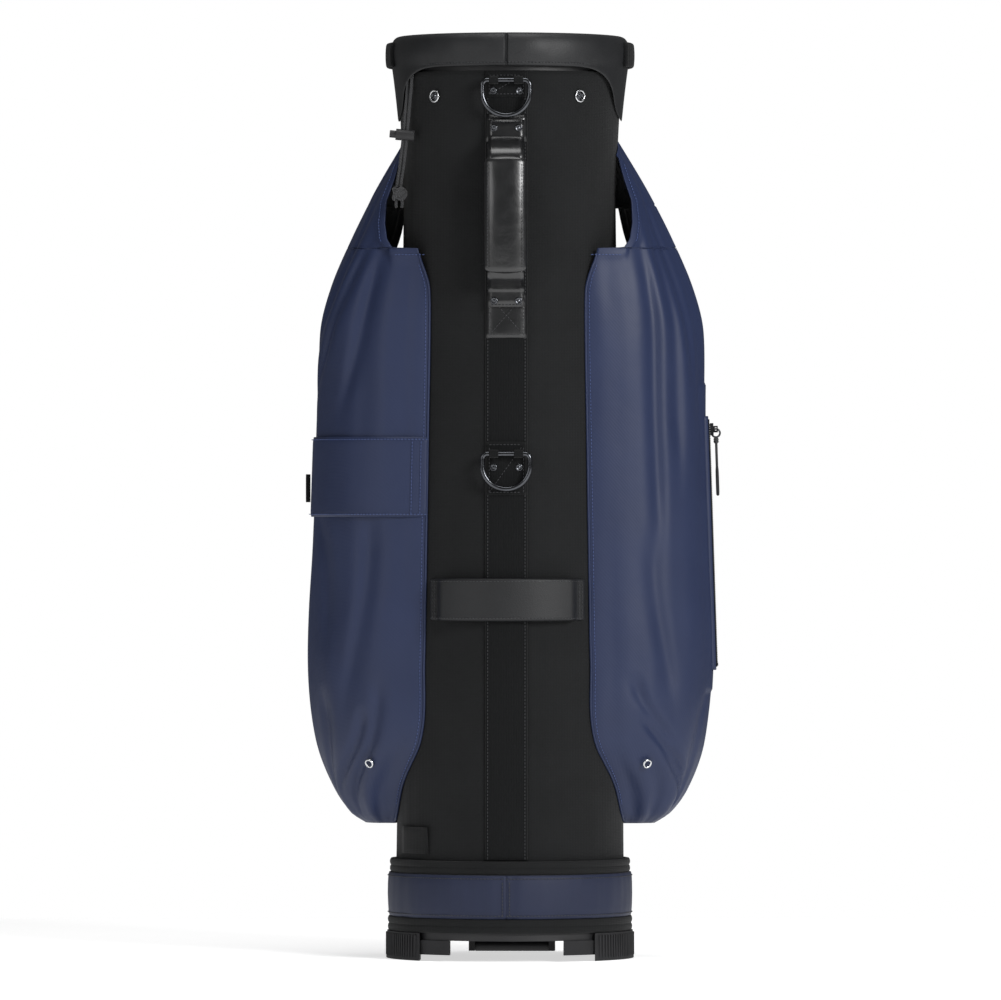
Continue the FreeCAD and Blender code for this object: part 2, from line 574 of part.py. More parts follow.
def make_housing():
    plate = box("housing_plate", ("0 - housing_half", "housing_half"), ("80", "housing_front"),
                ("housing_low", "housing_top"))
    ears, bores, pins = [], [], []
    for side in (-1, 1):
        pivot, hinge, foot = leg_frame(side)
        turn = Rotation(Vector(0, 0, 1), -side * value("splay"))
        for step in (-1, 1):
            ear = doc.addObject("Part::Box", "ear")
            fix(ear, "Length", "ear_thick")
            fix(ear, "Width", "28")
            fix(ear, "Height", "17")
            shift = value("knuckle_half + swing_gap") if step > 0 else -value("knuckle_half + swing_gap + ear_thick")
            ear.Placement = Placement(pivot + turn.multVec(Vector(shift, -20, -7.5)), turn)
            ears.append(ear)
        reach = value("knuckle_half + swing_gap + ear_thick")
        pins.append(rod("leg_pin", "pin_radius", pivot - hinge * reach, pivot + hinge * reach))
        bores.append(rod("ear_bore", "pin_radius", pivot - hinge * (reach + 1), pivot + hinge * (reach + 1)))
    seat = tube_block("housing_seat", "700", "820", "seat_gap")
    node(cut("leg_hinge_housing", fuse("housing_body", plate, *ears), seat, *bores), "leg_hinge_housing")
    node(group("leg_hinge_pins", pins), "leg_hinge_pins")


def make_actuator():
    start = Vector(0, value("rod_y"), value("rod_bottom"))
    end = Vector(0, start.y, value("rod_top"))
    shaft = rod("actuator_shaft", "rod_radius", start, end)
    yoke = box("actuator_yoke", ("0 - 20", "20"), ("rod_y - 3", "rod_y + 3"), ("rod_top - 8", "rod_top"))
    node(fuse("actuator_rod", shaft, yoke), "actuator_rod")
    guides = []
    for low in ("pouch_top + 25", "ball_top + 10", "cup_top + 0.5"):
        block = box("guide_block", ("0 - 8", "8"), ("90", "rod_y + 5"), (low, f"({low}) + 3"))
        seat = tube_block("guide_seat", f"({low}) - 1", f"({low}) + 5", "seat_gap")
        bore = rod("guide_bore", "rod_radius + run_gap", start, end)
        guides.append(cut("rod_guide", block, seat, bore))
    node(group("rod_guides", guides), "rod_guides")


# ------------------------------------------------------------------ small fittings
def stud(name, radius, thick, angle, height, lift):
    """A round fitting standing radially on the tube."""
    start = value(f"{tube_radius(height)} + {lift}")
    level = value(height)
    return rod(name, radius, spot(angle, start, level), spot(angle, start + value(thick), level))


def make_studs():
    snaps = [stud("snap", "snap_radius", "snap_thick", side * value("snap_angle"), "snap_height", "seat_gap")
             for side in (-1, 1)]
    node(group("hood_snaps", snaps), "hood_snaps")
    on_tab = "web_thick + tab_thick + 0.2"
    rivets = []
    for height, lift, angle in (("upper_ring_height - 10", on_tab, 6.4), ("lower_ring_height - 13", on_tab, 6.4),
                                ("handle_top - 9", f"{on_tab} + handle_strap + 1.05", 6.0),
                                ("grip_low - 21", f"{on_tab} + handle_strap + 1.05", 6.0)):
        for side in (-1, 1):
            rivets.append(stud("rivet", "rivet_radius", "rivet_thick", side * angle, height, lift))
    node(group("tab_rivets", rivets), "tab_rivets")


def make_eyelets():
    rings = []
    for side, name in ((-1, "left"), (1, "right")):
        pocket = [item for item in NODES if item.Label == f"{name}_side_pocket"][0]
        x, z = side * value("eyelet_x"), value("eyelet_height")
        here = Vector(x, surface_y(pocket, x, z), z)
        across = Vector(x + 1, surface_y(pocket, x + 1, z), z) - here
        along = Vector(x, surface_y(pocket, x, z + 1), z + 1) - here
        normal = across.cross(along)
        normal = normal * (1 / normal.Length)
        if normal.y > 0:
            normal = normal * -1
        start = here + normal * 0.35
        end = start + normal * value("eyelet_thick")
        rings.append(cut("eyelet", rod("eyelet_disc", "eyelet_radius", start, end),
                         rod("eyelet_hole", "eyelet_bore", start - normal, end + normal)))
    node(group("drain_eyelets", rings), "drain_eyelets")


def make_pocket_band():
    outer = pocket_loft("band_outer", -1, "2.2")
    inner = pocket_loft("band_inner", -1, "0.4")
    window = box("band_window", ("0 - 230", "0"), ("0 - 120", "60"), ("430", "508"))
    seat = tube_block("band_seat", "300", "600", "seat_gap")
    node(cut("left_pocket_band", common("band_wrap", outer, window), inner, seat), "left_pocket_band")
    node(box("band_tag", ("0 - 200.6", "0 - 195.4"), ("4", "16"), ("444", "472")), "band_tag")


def zip_frames():
    """Each zip: name, frame at the closed slider (local +X out of the pocket, +Z up), travel."""
    pocket = [item for item in NODES if item.Label == "right_side_pocket"][0]
    depth = value("pocket_centre")
    low, high = [Vector(surface_x(pocket, depth, z), depth, z) for z in (290, 520)]
    bulge = max(surface_x(pocket, depth, z) - low.x - (high.x - low.x) * (z - low.z) / (high.z - low.z)
                for z in range(280, 531, 10))
    low, high = low + Vector(bulge, 0, 0), high + Vector(bulge, 0, 0)
    print("side zip stands", round(bulge, 2), "over its ends")
    up = high - low
    up = up * (1 / up.Length)
    out = Vector(up.z, 0, -up.x)
    slope = Rotation(out, Vector(0, 1, 0), up, "XYZ")
    front = Rotation(Vector(0, 1, 0), Vector(-1, 0, 0), Vector(0, 0, 1), "XYZ")
    yield "side", Placement(high + up * 1.5 - up * 6, slope), 218
    yield "ball", Placement(Vector(0, value("ball_front"), value("ball_top - 30")), front), 210
    yield "pouch", Placement(Vector(0, value("pouch_front"), value("pouch_top - 25")), front), 150


def make_zips():
    for name, frame, travel in zip_frames():
        def local_box(part, size, corner):
            block = doc.addObject("Part::Box", f"{name}_{part}")
            for side, text in zip(("Length", "Width", "Height"), size):
                fix(block, side, text)
            block.Placement = frame.multiply(Placement(Vector(*corner), Rotation()))
            return block

        def local_rod(part, radius, start, end):
            return rod(f"{name}_{part}", radius, frame.multVec(Vector(*start)), frame.multVec(Vector(*end)))

        width, length, thick = value("slider_width"), value("slider_length"), value("slider_thick")
        base = value("0.4 + tape_thick + 0.3")
        face = base + thick
        tape = local_box("tape", ("tape_thick", "tape_width", str(travel + 24)),
                         (0.4, -value("tape_width") / 2, -travel - 14))
        node(tape, f"{name}_zip_tape")
        shell = local_box("slider_shell", ("slider_thick", "slider_width", "slider_length"),
                          (base, -width / 2, -length / 2))
        bridge = local_box("slider_bridge", ("4.2", "3", "6.4"), (face, -1.5, -3.2))
        hole = local_rod("slider_hole", "1.5", (face + 2.2, -5, 0.2), (face + 2.2, 5, 0.2))
        node(cut(f"{name}_slider", fuse(f"{name}_slider_body", shell, bridge), hole), f"{name}_zip_slider")

        centre = face + 2.2
        ring = doc.addObject("Part::Torus", f"{name}_pull_ring")
        ring.Radius1 = 4
        ring.Radius2 = 1
        ring.Placement = frame.multiply(Placement(Vector(centre, 0, 0.2 - 4), Rotation(Vector(0, 1, 0), 90)))
        knot = doc.addObject("Part::Sphere", f"{name}_pull_knot")
        knot.Radius = 2.8
        knot.Placement = frame.multiply(Placement(Vector(centre, 0, -11), Rotation()))
        string = local_rod("pull_string", "1.4", (centre, 0, -12), (centre, 0, -38))
        grip = local_box("pull_grip", ("3.4", "8.5", "28"), (centre - 1.7, -4.25, -65))
        node(fuse(f"{name}_pull", ring, knot, string, grip), f"{name}_zip_pull")


# ------------------------------------------------------------------ umbrella cord
STRAND_ROUTES = {
    "cord_strand_outer": [(-96.8, -56.5, 864.7), (-97.5, -58.5, 848), (-99.5, -61.5, 826), (-104, -62, 776),
                          (-108, -60.5, 750.9)],
    "cord_strand_inner": [(-92.6, -61.8, 864.7), (-93.8, -62.6, 848), (-95.9, -62.8, 826), (-100.4, -62.9, 776),
                          (-104.4, -61.5, 750.9)],
}


def cord_tube(name, points):
    """A tube along straight runs joined by tangent arcs."""
    corners = [Vector(*point) for point in points]
    edges, start, turns = [], corners[0], []
    for before, corner, after in zip(corners, corners[1:], corners[2:]):
        back, on = before - corner, after - corner
        shorter = min(back.Length, on.Length)
        back, on = back * (1 / back.Length), on * (1 / on.Length)
        turn = math.pi - back.getAngle(on)
        trim = 0.45 * shorter
        radius = trim / math.tan(turn / 2)
        turns.append(radius)
        first, last = corner + back * trim, corner + on * trim
        inward = back + on
        middle = corner + inward * (1 / inward.Length) * (radius / math.cos(turn / 2) - radius)
        edges.append(Part.LineSegment(start, first).toShape())
        edges.append(Part.Arc(first, middle, last).toShape())
        start = last
    edges.append(Part.LineSegment(start, corners[-1]).toShape())
    path = Part.Wire(edges)
    way = corners[1] - corners[0]
    profile = Part.Wire([Part.makeCircle(value("cord_radius"), corners[0], way)])
    tube = doc.addObject("Part::Feature", name)
    tube.Shape = path.makePipeShell([profile], True, False)
    wanted = math.pi * value("cord_radius") ** 2 * path.Length
    print(name, "radii", [round(r, 1) for r in turns], "length", round(path.Length, 2),
          "volume", round(tube.Shape.Volume, 2), "of", round(wanted, 2))
    node(tube, name)


def make_cord():
    for name, points in STRAND_ROUTES.items():
        cord_tube(name, points)
    outer, inner = STRAND_ROUTES["cord_strand_outer"], STRAND_ROUTES["cord_strand_inner"]
    high = (Vector(*outer[2]) + Vector(*inner[2])) * 0.5
    low = (Vector(*outer[3]) + Vector(*inner[3])) * 0.5
    up = high - low
    up = up * (1 / up.Length)
    centre = (high + low) * 0.5
    away = Vector(0, 1, 0).cross(up)
    away = away * (-1 / away.Length)
    half = value("lock_length") / 2
    barrel = rod("lock_barrel", "lock_radius", centre - away * half, centre + away * half)
    gap = value("cord_radius + 0.35")
    slot = doc.addObject("Part::Box", "lock_slot")
    slot.Length = 3.6 + 2 * gap
    slot.Width = 2 * gap + 1
    slot.Height = 30
    turn = Rotation(away * -1, Vector(0, 1, 0), up, "XYZ")
    slot.Placement = Placement(centre + turn.multVec(Vector(-slot.Length.Value / 2, -slot.Width.Value / 2, -15)), turn)
    mouth = rod("lock_mouth", "button_radius + 0.1", centre + away * (half - 3.6), centre + away * (half + 1))
    node(cut("cord_lock", barrel, slot, mouth), "cord_lock")
    node(rod("cord_lock_button", "button_radius", centre + away * (half - 0.9), centre + away * (half + 6)),
         "cord_lock_button")
    ball = doc.addObject("Part::Sphere", "knot_ball")
    fix(ball, "Radius", "knot_radius")
    ball.Placement.Base = (Vector(*outer[4]) + Vector(*inner[4])) * 0.5 - Vector(0, 0, value("knot_radius") + 0.3)
    tails = [rod("knot_tail", "cord_radius", ball.Placement.Base + Vector(shift, 0, -3),
                 ball.Placement.Base + Vector(2.2 * shift, 1, -14)) for shift in (-2, 2.4)]
    node(fuse("cord_knot", ball, *tails), "cord_knot")


# ------------------------------------------------------------------ build and write
for make in (make_tube, make_top, make_base, make_pedal, make_spine, make_rings, make_handle, make_side_pockets,
             make_belly_pockets, make_legs, make_housing, make_actuator, make_studs):
    make()
doc.recompute()
for make in (make_eyelets, make_pocket_band, make_zips, make_cord):
    make()
doc.recompute()

faults = [f"{item.Label}: {item.State}" for item in doc.Objects
          if "Invalid" in item.State or "Error" in item.State]
for item in NODES:
    if item.Shape.isNull() or not item.Shape.isValid() or not item.Shape.Solids:
        faults.append(f"{item.Label}: no valid solid")
if faults:
    raise RuntimeError("the model did not build: " + "; ".join(faults))

os.makedirs("parts", exist_ok=True)
for item in NODES:
    item.Shape.exportStep(f"parts/{item.Label}.step")
    print(item.Label, len(item.Shape.Solids), round(item.Shape.Volume / 1000, 2))
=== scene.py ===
import functools
import math

import bmesh
import bpy
from bpy.props import FloatProperty, PointerProperty, StringProperty
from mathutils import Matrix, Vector, noise


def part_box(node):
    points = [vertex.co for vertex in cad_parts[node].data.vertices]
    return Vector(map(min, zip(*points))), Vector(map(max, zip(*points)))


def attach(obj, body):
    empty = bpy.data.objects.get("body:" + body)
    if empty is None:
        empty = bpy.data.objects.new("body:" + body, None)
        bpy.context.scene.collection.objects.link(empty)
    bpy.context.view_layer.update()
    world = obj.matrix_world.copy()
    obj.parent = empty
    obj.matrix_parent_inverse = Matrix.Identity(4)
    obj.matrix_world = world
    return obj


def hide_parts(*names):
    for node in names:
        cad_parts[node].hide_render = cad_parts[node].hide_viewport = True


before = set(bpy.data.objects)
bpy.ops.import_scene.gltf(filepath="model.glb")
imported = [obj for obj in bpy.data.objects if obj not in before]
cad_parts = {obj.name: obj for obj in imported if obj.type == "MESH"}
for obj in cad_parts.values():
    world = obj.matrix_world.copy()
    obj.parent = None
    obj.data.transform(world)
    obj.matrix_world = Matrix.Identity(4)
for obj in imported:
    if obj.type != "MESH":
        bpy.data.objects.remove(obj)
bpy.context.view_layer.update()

MM = 0.001
UP = Vector((0, 0, 1))
ACROSS = Vector((1, 0, 0))
FULL_TURN = 2 * math.pi
SIDES = ((-1, "left"), (1, "right"))

bl_info = {
    "name": "Golf Stand Bag",
    "version": (1, 0, 0),
    "blender": (4, 5, 0),
    "location": "View3D > Sidebar > Golf Bag",
    "description": "Builds the soft goods, trims and finishes of a golf stand bag round its CAD frame",
    "category": "Object",
}


# ------------------------------------------------------------------ settings
def length(name, default, text):
    return FloatProperty(name=name, description=text, default=default, unit="LENGTH", precision=4)


class GolfBagShape(bpy.types.PropertyGroup):
    waist_radius: length("Waist radius", 0.104, "Tube radius where it is slimmest")
    waist_height: length("Waist height", 0.745, "Height of the slimmest place")
    top_radius: length("Top radius", 0.1095, "Tube radius under the cuff")
    low_radius: length("Low radius", 0.112, "Tube radius at the base")
    web_half: length("Webbing half width", 0.0205, "Half the width of the spine webbing")
    stitch: length("Stitch", 0.0034, "Length of one stitch")


class GolfBagColours(bpy.types.PropertyGroup):
    canvas: StringProperty(name="Canvas", description="Tube cloth, sRGB hex", default="#0f1011")
    navy: StringProperty(name="Navy", description="Pocket cloth, sRGB hex", default="#1d2744")
    band: StringProperty(name="Base band", description="Base band cloth, sRGB hex", default="#1a2138")
    leather: StringProperty(name="Leather", description="Cuff and handle, sRGB hex", default="#151618")
    webbing: StringProperty(name="Webbing", description="Straps and tabs, sRGB hex", default="#0b0c0d")
    plastic: StringProperty(name="Plastic", description="Moulded parts, sRGB hex", default="#161618")
    lining: StringProperty(name="Lining", description="Divider cloth, sRGB hex", default="#3a3b3f")


def settings():
    return bpy.context.scene.golf_bag_shape


def colours():
    return bpy.context.scene.golf_bag_colours


# ------------------------------------------------------------------ colour and nodes
def linear(hex_colour):
    """An sRGB hex value as the linear colour that shaders take."""
    parts = [int(hex_colour[i:i + 2], 16) / 255 for i in (1, 3, 5)]
    return [c / 12.92 if c <= 0.04045 else ((c + 0.055) / 1.055) ** 2.4 for c in parts] + [1.0]


def shade(hex_colour, factor):
    """The same hex colour, lighter or darker by a factor of its linear value."""
    return [min(1.0, c * factor) for c in linear(hex_colour)[:3]] + [1.0]


def add(tree, kind, links=(), **values):
    """Add a node: values set its properties or inputs, links are (output, input name)."""
    made = tree.nodes.new(kind)
    for name, setting in values.items():
        if hasattr(made, name):
            setattr(made, name, setting)
        else:
            made.inputs[name.replace("_", " ")].default_value = setting
    for source, target in links:
        tree.links.new(source, made.inputs[target])
    return made


def new_finish(name, roughness, metallic=0.0, **sockets):
    """A principled material; returns it with its tree, shader and object coordinates."""
    material = bpy.data.materials.new(name)
    material.use_nodes = True
    tree = material.node_tree
    shader = tree.nodes["Principled BSDF"]
    shader.inputs["Roughness"].default_value = roughness
    shader.inputs["Metallic"].default_value = metallic
    for socket, setting in sockets.items():
        shader.inputs[socket.replace("_", " ")].default_value = setting
    place = add(tree, "ShaderNodeTexCoord").outputs["Object"]
    return material, tree, shader, place


def colour_range(tree, shader, factor, dark, light):
    """Vary the base colour between two linear colours."""
    ramp = add(tree, "ShaderNodeMix", data_type="RGBA")
    tree.links.new(factor, ramp.inputs[0])
    ramp.inputs[6].default_value = dark
    ramp.inputs[7].default_value = light
    tree.links.new(ramp.outputs[2], shader.inputs["Base Color"])
    return ramp


def rough_range(tree, shader, factor, low, high):
    """Vary the roughness between two values."""
    spread = add(tree, "ShaderNodeMapRange", [(factor, "Value")], To_Min=low, To_Max=high)
    tree.links.new(spread.outputs["Result"], shader.inputs["Roughness"])


def relief(tree, shader, layers):
    """Bump from (height, strength, depth in metres) layers, coarse first."""
    normal = None
    for height, strength, depth in layers:
        bump = add(tree, "ShaderNodeBump", [(height, "Height")], Strength=strength, Distance=depth)
        if normal:
            tree.links.new(normal, bump.inputs["Normal"])
        normal = bump.outputs["Normal"]
    tree.links.new(normal, shader.inputs["Normal"])


def per_metre(spacing_mm):
    """Texture scale for a pattern of that spacing: a wave repeats every 2 pi / 20 units at scale 1."""
    return 1000 / spacing_mm * (math.pi / 10)


def plain_weave(tree, place, spacing_mm, along="Z", across="X"):
    """Two crossed thread bands; the product reads as an over-and-under weave."""
    warp = add(tree, "ShaderNodeTexWave", [(place, "Vector")], wave_type="BANDS", bands_direction=across,
               Scale=per_metre(spacing_mm), Distortion=0.4, Detail=1.0)
    weft = add(tree, "ShaderNodeTexWave", [(place, "Vector")], wave_type="BANDS", bands_direction=along,
               Scale=per_metre(spacing_mm), Distortion=0.4, Detail=1.0)
    both = add(tree, "ShaderNodeMath", operation="MULTIPLY")
    tree.links.new(warp.outputs["Fac"], both.inputs[0])
    tree.links.new(weft.outputs["Fac"], both.inputs[1])
    return both.outputs["Value"]


def cloudy(tree, place, size_mm, detail=4.0):
    """Soft uneven patches of about that size."""
    return add(tree, "ShaderNodeTexNoise", [(place, "Vector")], Scale=1000 / size_mm,
               Detail=detail).outputs["Fac"]


# ------------------------------------------------------------------ materials
def woven_polyester_canvas():
    # Heavy plain-weave polyester: matt black, a fine thread grid and faint vertical shade in the cloth.
    # Threads are 0.6 mm on the real cloth and drawn at 1.5 mm so that they show.
    hue = colours().canvas
    material, tree, shader, place = new_finish("woven_polyester_canvas", 0.85, Specular_IOR_Level=0.22,
                                               Sheen_Weight=0.06, Sheen_Roughness=0.5)
    weave = plain_weave(tree, place, 1.5)
    patch = cloudy(tree, place, 45)
    mixed = add(tree, "ShaderNodeMath", operation="MULTIPLY_ADD")
    tree.links.new(weave, mixed.inputs[0])
    mixed.inputs[1].default_value = 0.45
    tree.links.new(patch, mixed.inputs[2])
    colour_range(tree, shader, mixed.outputs["Value"], shade(hue, 0.55), shade(hue, 1.35))
    relief(tree, shader, [(patch, 0.25, 0.002), (weave, 0.5, 0.0004)])
    return material


def coated_navy_cloth():
    # Polyurethane-coated twill: smooth navy with a soft satin glow, dull in the creases,
    # and a twill line so fine that only a slight grain shows; drawn at 1.1 mm.
    hue = colours().navy
    material, tree, shader, place = new_finish("coated_navy_cloth", 0.5, Specular_IOR_Level=0.34,
                                               Sheen_Weight=0.05, Sheen_Roughness=0.4)
    shader.inputs["Sheen Tint"].default_value = shade(hue, 3.0)
    twill = add(tree, "ShaderNodeTexWave", [(place, "Vector")], wave_type="BANDS",
                bands_direction="DIAGONAL", Scale=per_metre(1.1) / 1.7, Distortion=0.3).outputs["Fac"]
    patch = cloudy(tree, place, 60, 3.0)
    fine = cloudy(tree, place, 9, 3.0)
    colour_range(tree, shader, patch, shade(hue, 0.86), shade(hue, 1.12))
    rough_range(tree, shader, patch, 0.44, 0.58)
    relief(tree, shader, [(patch, 0.35, 0.003), (fine, 0.18, 0.0006), (twill, 0.16, 0.0002)])
    return material


def base_band_cloth():
    # The same coated cloth stretched round the base: darker and flatter.
    hue = colours().band
    material, tree, shader, place = new_finish("base_band_cloth", 0.6, Specular_IOR_Level=0.3,
                                               Sheen_Weight=0.05, Sheen_Roughness=0.5)
    twill = plain_weave(tree, place, 1.1)
    patch = cloudy(tree, place, 40, 3.0)
    colour_range(tree, shader, patch, shade(hue, 0.85), shade(hue, 1.15))
    relief(tree, shader, [(patch, 0.2, 0.0015), (twill, 0.2, 0.0002)])
    return material


def grained_synthetic_leather():
    # Padded polyurethane leather: near-black, pebbled grain 1.3 mm across, a soft broad highlight
    # and slightly shinier high spots.
    hue = colours().leather
    material, tree, shader, place = new_finish("grained_synthetic_leather", 0.52, Specular_IOR_Level=0.36,
                                               Coat_Weight=0.04, Coat_Roughness=0.5)
    pebble = add(tree, "ShaderNodeTexVoronoi", [(place, "Vector")], feature="SMOOTH_F1",
                 Scale=1000 / 1.3, Smoothness=0.6).outputs["Distance"]
    patch = cloudy(tree, place, 25)
    colour_range(tree, shader, patch, shade(hue, 0.75), shade(hue, 1.3))
    rough_range(tree, shader, patch, 0.46, 0.60)
    relief(tree, shader, [(patch, 0.3, 0.0012), (pebble, 0.35, 0.0003)])
    return material


def polished_handle_leather():
    # Smooth padded leather of the handle: deep black, glossy, softly creased every 12 mm or so,
    # with worn spots that shine a little more.
    hue = colours().leather
    material, tree, shader, place = new_finish("polished_handle_leather", 0.3, Specular_IOR_Level=0.55,
                                               Coat_Weight=0.35, Coat_Roughness=0.22)
    crease_and_painted_shade = cloudy(tree, place, 12, 3.0)
    grain = cloudy(tree, place, 1.4, 2.0)
    # The colour follows the creases: darker in their hollows, which is painted shade there, and otherwise the
    # leather's own uneven black.
    colour_range(tree, shader, crease_and_painted_shade, shade(hue, 0.35), shade(hue, 0.75))
    rough_range(tree, shader, crease_and_painted_shade, 0.24, 0.40)
    relief(tree, shader, [(crease_and_painted_shade, 0.35, 0.0016), (grain, 0.15, 0.0002)])
    return material


def ribbed_webbing():
    # Polyester seat-belt webbing: lengthwise cords 1.6 mm apart crossed by finer picks.
    hue = colours().webbing
    material, tree, shader, place = new_finish("ribbed_webbing", 0.80, Specular_IOR_Level=0.14,
                                               Sheen_Weight=0.05)
    cords = add(tree, "ShaderNodeTexWave", [(place, "Vector")], wave_type="BANDS", bands_direction="X",
                Scale=per_metre(1.6), Distortion=0.1).outputs["Fac"]
    picks = add(tree, "ShaderNodeTexWave", [(place, "Vector")], wave_type="BANDS", bands_direction="Z",
                Scale=per_metre(1.2), Distortion=0.6).outputs["Fac"]
    colour_range(tree, shader, picks, shade(hue, 0.8), shade(hue, 1.5))
    relief(tree, shader, [(cords, 0.7, 0.0004), (picks, 0.5, 0.0003)])
    return material


def textured_moulded_plastic():
    # Injection-moulded nylon: charcoal black with a spark-eroded grain of about 0.8 mm.
    hue = colours().plastic
    material, tree, shader, place = new_finish("textured_moulded_plastic", 0.5, Specular_IOR_Level=0.45)
    grain = cloudy(tree, place, 0.8, 2.0)
    patch = cloudy(tree, place, 50)
    colour_range(tree, shader, patch, shade(hue, 0.85), shade(hue, 1.25))
    rough_range(tree, shader, patch, 0.44, 0.58)
    relief(tree, shader, [(grain, 0.25, 0.0002)])
    return material


def moulded_rubber():
    # Carbon-black rubber: fully matt, a little dusty where it meets the ground.
    material, tree, shader, place = new_finish("moulded_rubber", 0.78, Specular_IOR_Level=0.35)
    grain = cloudy(tree, place, 1.4, 3.0)
    patch = cloudy(tree, place, 22)
    colour_range(tree, shader, patch, linear("#141414"), linear("#27272a"))
    relief(tree, shader, [(grain, 0.35, 0.0003)])
    return material


def black_nickel_plate():
    # Black-nickel plated steel: dark mirror with faint polishing cloudiness.
    material, tree, shader, place = new_finish("black_nickel_plate", 0.2, metallic=1.0)
    patch = cloudy(tree, place, 7)
    colour_range(tree, shader, patch, linear("#3c3d40"), linear("#5c5e62"))
    rough_range(tree, shader, patch, 0.14, 0.3)
    relief(tree, shader, [(patch, 0.05, 0.0002)])
    return material


def polished_nickel_plate():
    # Bright nickel plate: silver with a soft haze from handling.
    material, tree, shader, place = new_finish("polished_nickel_plate", 0.18, metallic=1.0)
    patch = cloudy(tree, place, 6)
    colour_range(tree, shader, patch, linear("#b6b8ba"), linear("#dcdddf"))
    rough_range(tree, shader, patch, 0.12, 0.28)
    relief(tree, shader, [(patch, 0.04, 0.0002)])
    return material


def black_anodised_aluminium():
    # Drawn tube, black anodised: satin, with drawing lines along its length.
    material, tree, shader, place = new_finish("black_anodised_aluminium", 0.35, metallic=0.85)
    lines = add(tree, "ShaderNodeMapping", [(place, "Vector")])
    lines.inputs["Scale"].default_value = (1.0, 1.0, 0.03)
    drawn = cloudy(tree, lines.outputs["Vector"], 1.2, 2.0)
    colour_range(tree, shader, drawn, linear("#242527"), linear("#37383b"))
    rough_range(tree, shader, drawn, 0.28, 0.42)
    relief(tree, shader, [(drawn, 0.08, 0.0001)])
    return material


def braided_cord():
    # Round braided elastic: black with a diagonal braid 1.4 mm across.
    material, tree, shader, place = new_finish("braided_cord", 0.7, Sheen_Weight=0.2)
    one = add(tree, "ShaderNodeTexWave", [(place, "Vector")], wave_type="BANDS", bands_direction="DIAGONAL",
              Scale=per_metre(1.4), Distortion=0.3).outputs["Fac"]
    colour_range(tree, shader, one, linear("#101012"), linear("#2b2c2f"))
    relief(tree, shader, [(one, 0.8, 0.0004)])
    return material


def sewing_thread(name, hex_colour):
    # Bonded polyester thread: tight twist with a slight shine.
    material, tree, shader, place = new_finish(name, 0.5, Specular_IOR_Level=0.5)
    twist = add(tree, "ShaderNodeTexWave", [(place, "Vector")], wave_type="BANDS", bands_direction="DIAGONAL",
                Scale=per_metre(0.7)).outputs["Fac"]
    colour_range(tree, shader, twist, shade(hex_colour, 0.7), shade(hex_colour, 1.2))
    relief(tree, shader, [(twist, 0.3, 0.0001)])
    return material


def brushed_fleece_lining():
    # Brushed tricot on foam: grey, soft, with a short nap that lightens at glancing angles.
    hue = colours().lining
    material, tree, shader, place = new_finish("brushed_fleece_lining", 0.95, Sheen_Weight=0.6,
                                               Sheen_Roughness=0.6)
    nap = cloudy(tree, place, 1.6, 4.0)
    patch = cloudy(tree, place, 30)
    colour_range(tree, shader, patch, shade(hue, 0.8), shade(hue, 1.2))
    relief(tree, shader, [(nap, 0.6, 0.0006)])
    return material


def pultruded_fibreglass():
    # Glass and resin rod: pale, glossy, with fibre streaks along it.
    material, tree, shader, place = new_finish("pultruded_fibreglass", 0.3)
    lines = add(tree, "ShaderNodeMapping", [(place, "Vector")])
    lines.inputs["Scale"].default_value = (1.0, 1.0, 0.02)
    streak = cloudy(tree, lines.outputs["Vector"], 0.9, 2.0)
    colour_range(tree, shader, streak, linear("#9a9885"), linear("#c9c7b4"))
    relief(tree, shader, [(streak, 0.1, 0.0001)])
    return material


FINISHES = {}


def finish(name):
    """The material of that name, made once."""
    makers = {
        "canvas": woven_polyester_canvas, "navy": coated_navy_cloth, "band": base_band_cloth,
        "leather": grained_synthetic_leather, "handle": polished_handle_leather,
        "webbing": ribbed_webbing, "plastic": textured_moulded_plastic, "rubber": moulded_rubber,
        "dark_metal": black_nickel_plate, "bright_metal": polished_nickel_plate,
        "aluminium": black_anodised_aluminium, "cord": braided_cord, "lining": brushed_fleece_lining,
        "fibreglass": pultruded_fibreglass,
        "navy_thread": lambda: sewing_thread("navy_sewing_thread", "#3a4a78"),
        "black_thread": lambda: sewing_thread("black_sewing_thread", "#2a2b2e"),
    }
    if name not in FINISHES:
        FINISHES[name] = makers[name]()
    return FINISHES[name]


# ------------------------------------------------------------------ mesh helpers
TUBE_LOW, TUBE_TOP = 0.098, 0.862   # heights between which the tube narrows and widens


def tube_radius(height):
    """Outer radius of the tube cloth at a height."""
    size = settings()
    low, waist, top = TUBE_LOW, size.waist_height, TUBE_TOP
    if height < low:
        return size.low_radius
    if height < waist:
        return size.low_radius + (size.waist_radius - size.low_radius) * (height - low) / (waist - low)
    return size.waist_radius + (size.top_radius - size.waist_radius) * (height - waist) / (top - waist)


def spoke(angle, radius=1.0, height=0.0):
    """A point round the bag's axis at an angle from -Y towards +X."""
    return Vector((radius * math.sin(angle), -radius * math.cos(angle), height))


def on_tube(angle, height, lift=0.0):
    """A point on the tube at an angle from -Y towards +X."""
    return spoke(angle, tube_radius(height) + lift, height)


def across_tube(across, height, lift=0.0):
    """A point on the tube at a distance across the bag."""
    return on_tube(math.asin(max(-1, min(1, across / tube_radius(height)))), height, lift)


def heights(node):
    """The lowest and highest level of a CAD node."""
    low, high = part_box(node)
    return low[2], high[2]


def middle_of(node):
    """The middle of a CAD node's box."""
    low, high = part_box(node)
    return (Vector(low) + Vector(high)) / 2


def smooth_step(low, high, amount):
    """0 below low, 1 above high, eased between."""
    t = min(1.0, max(0.0, (amount - low) / (high - low)))
    return t * t * (3 - 2 * t)


def between(knots, at):
    """Value at a place on a smooth line through (place, value) knots."""
    if at <= knots[0][0]:
        return knots[0][1]
    for (a, va), (b, vb) in zip(knots, knots[1:]):
        if at <= b:
            return va + (vb - va) * (at - a) / (b - a)
    return knots[-1][1]


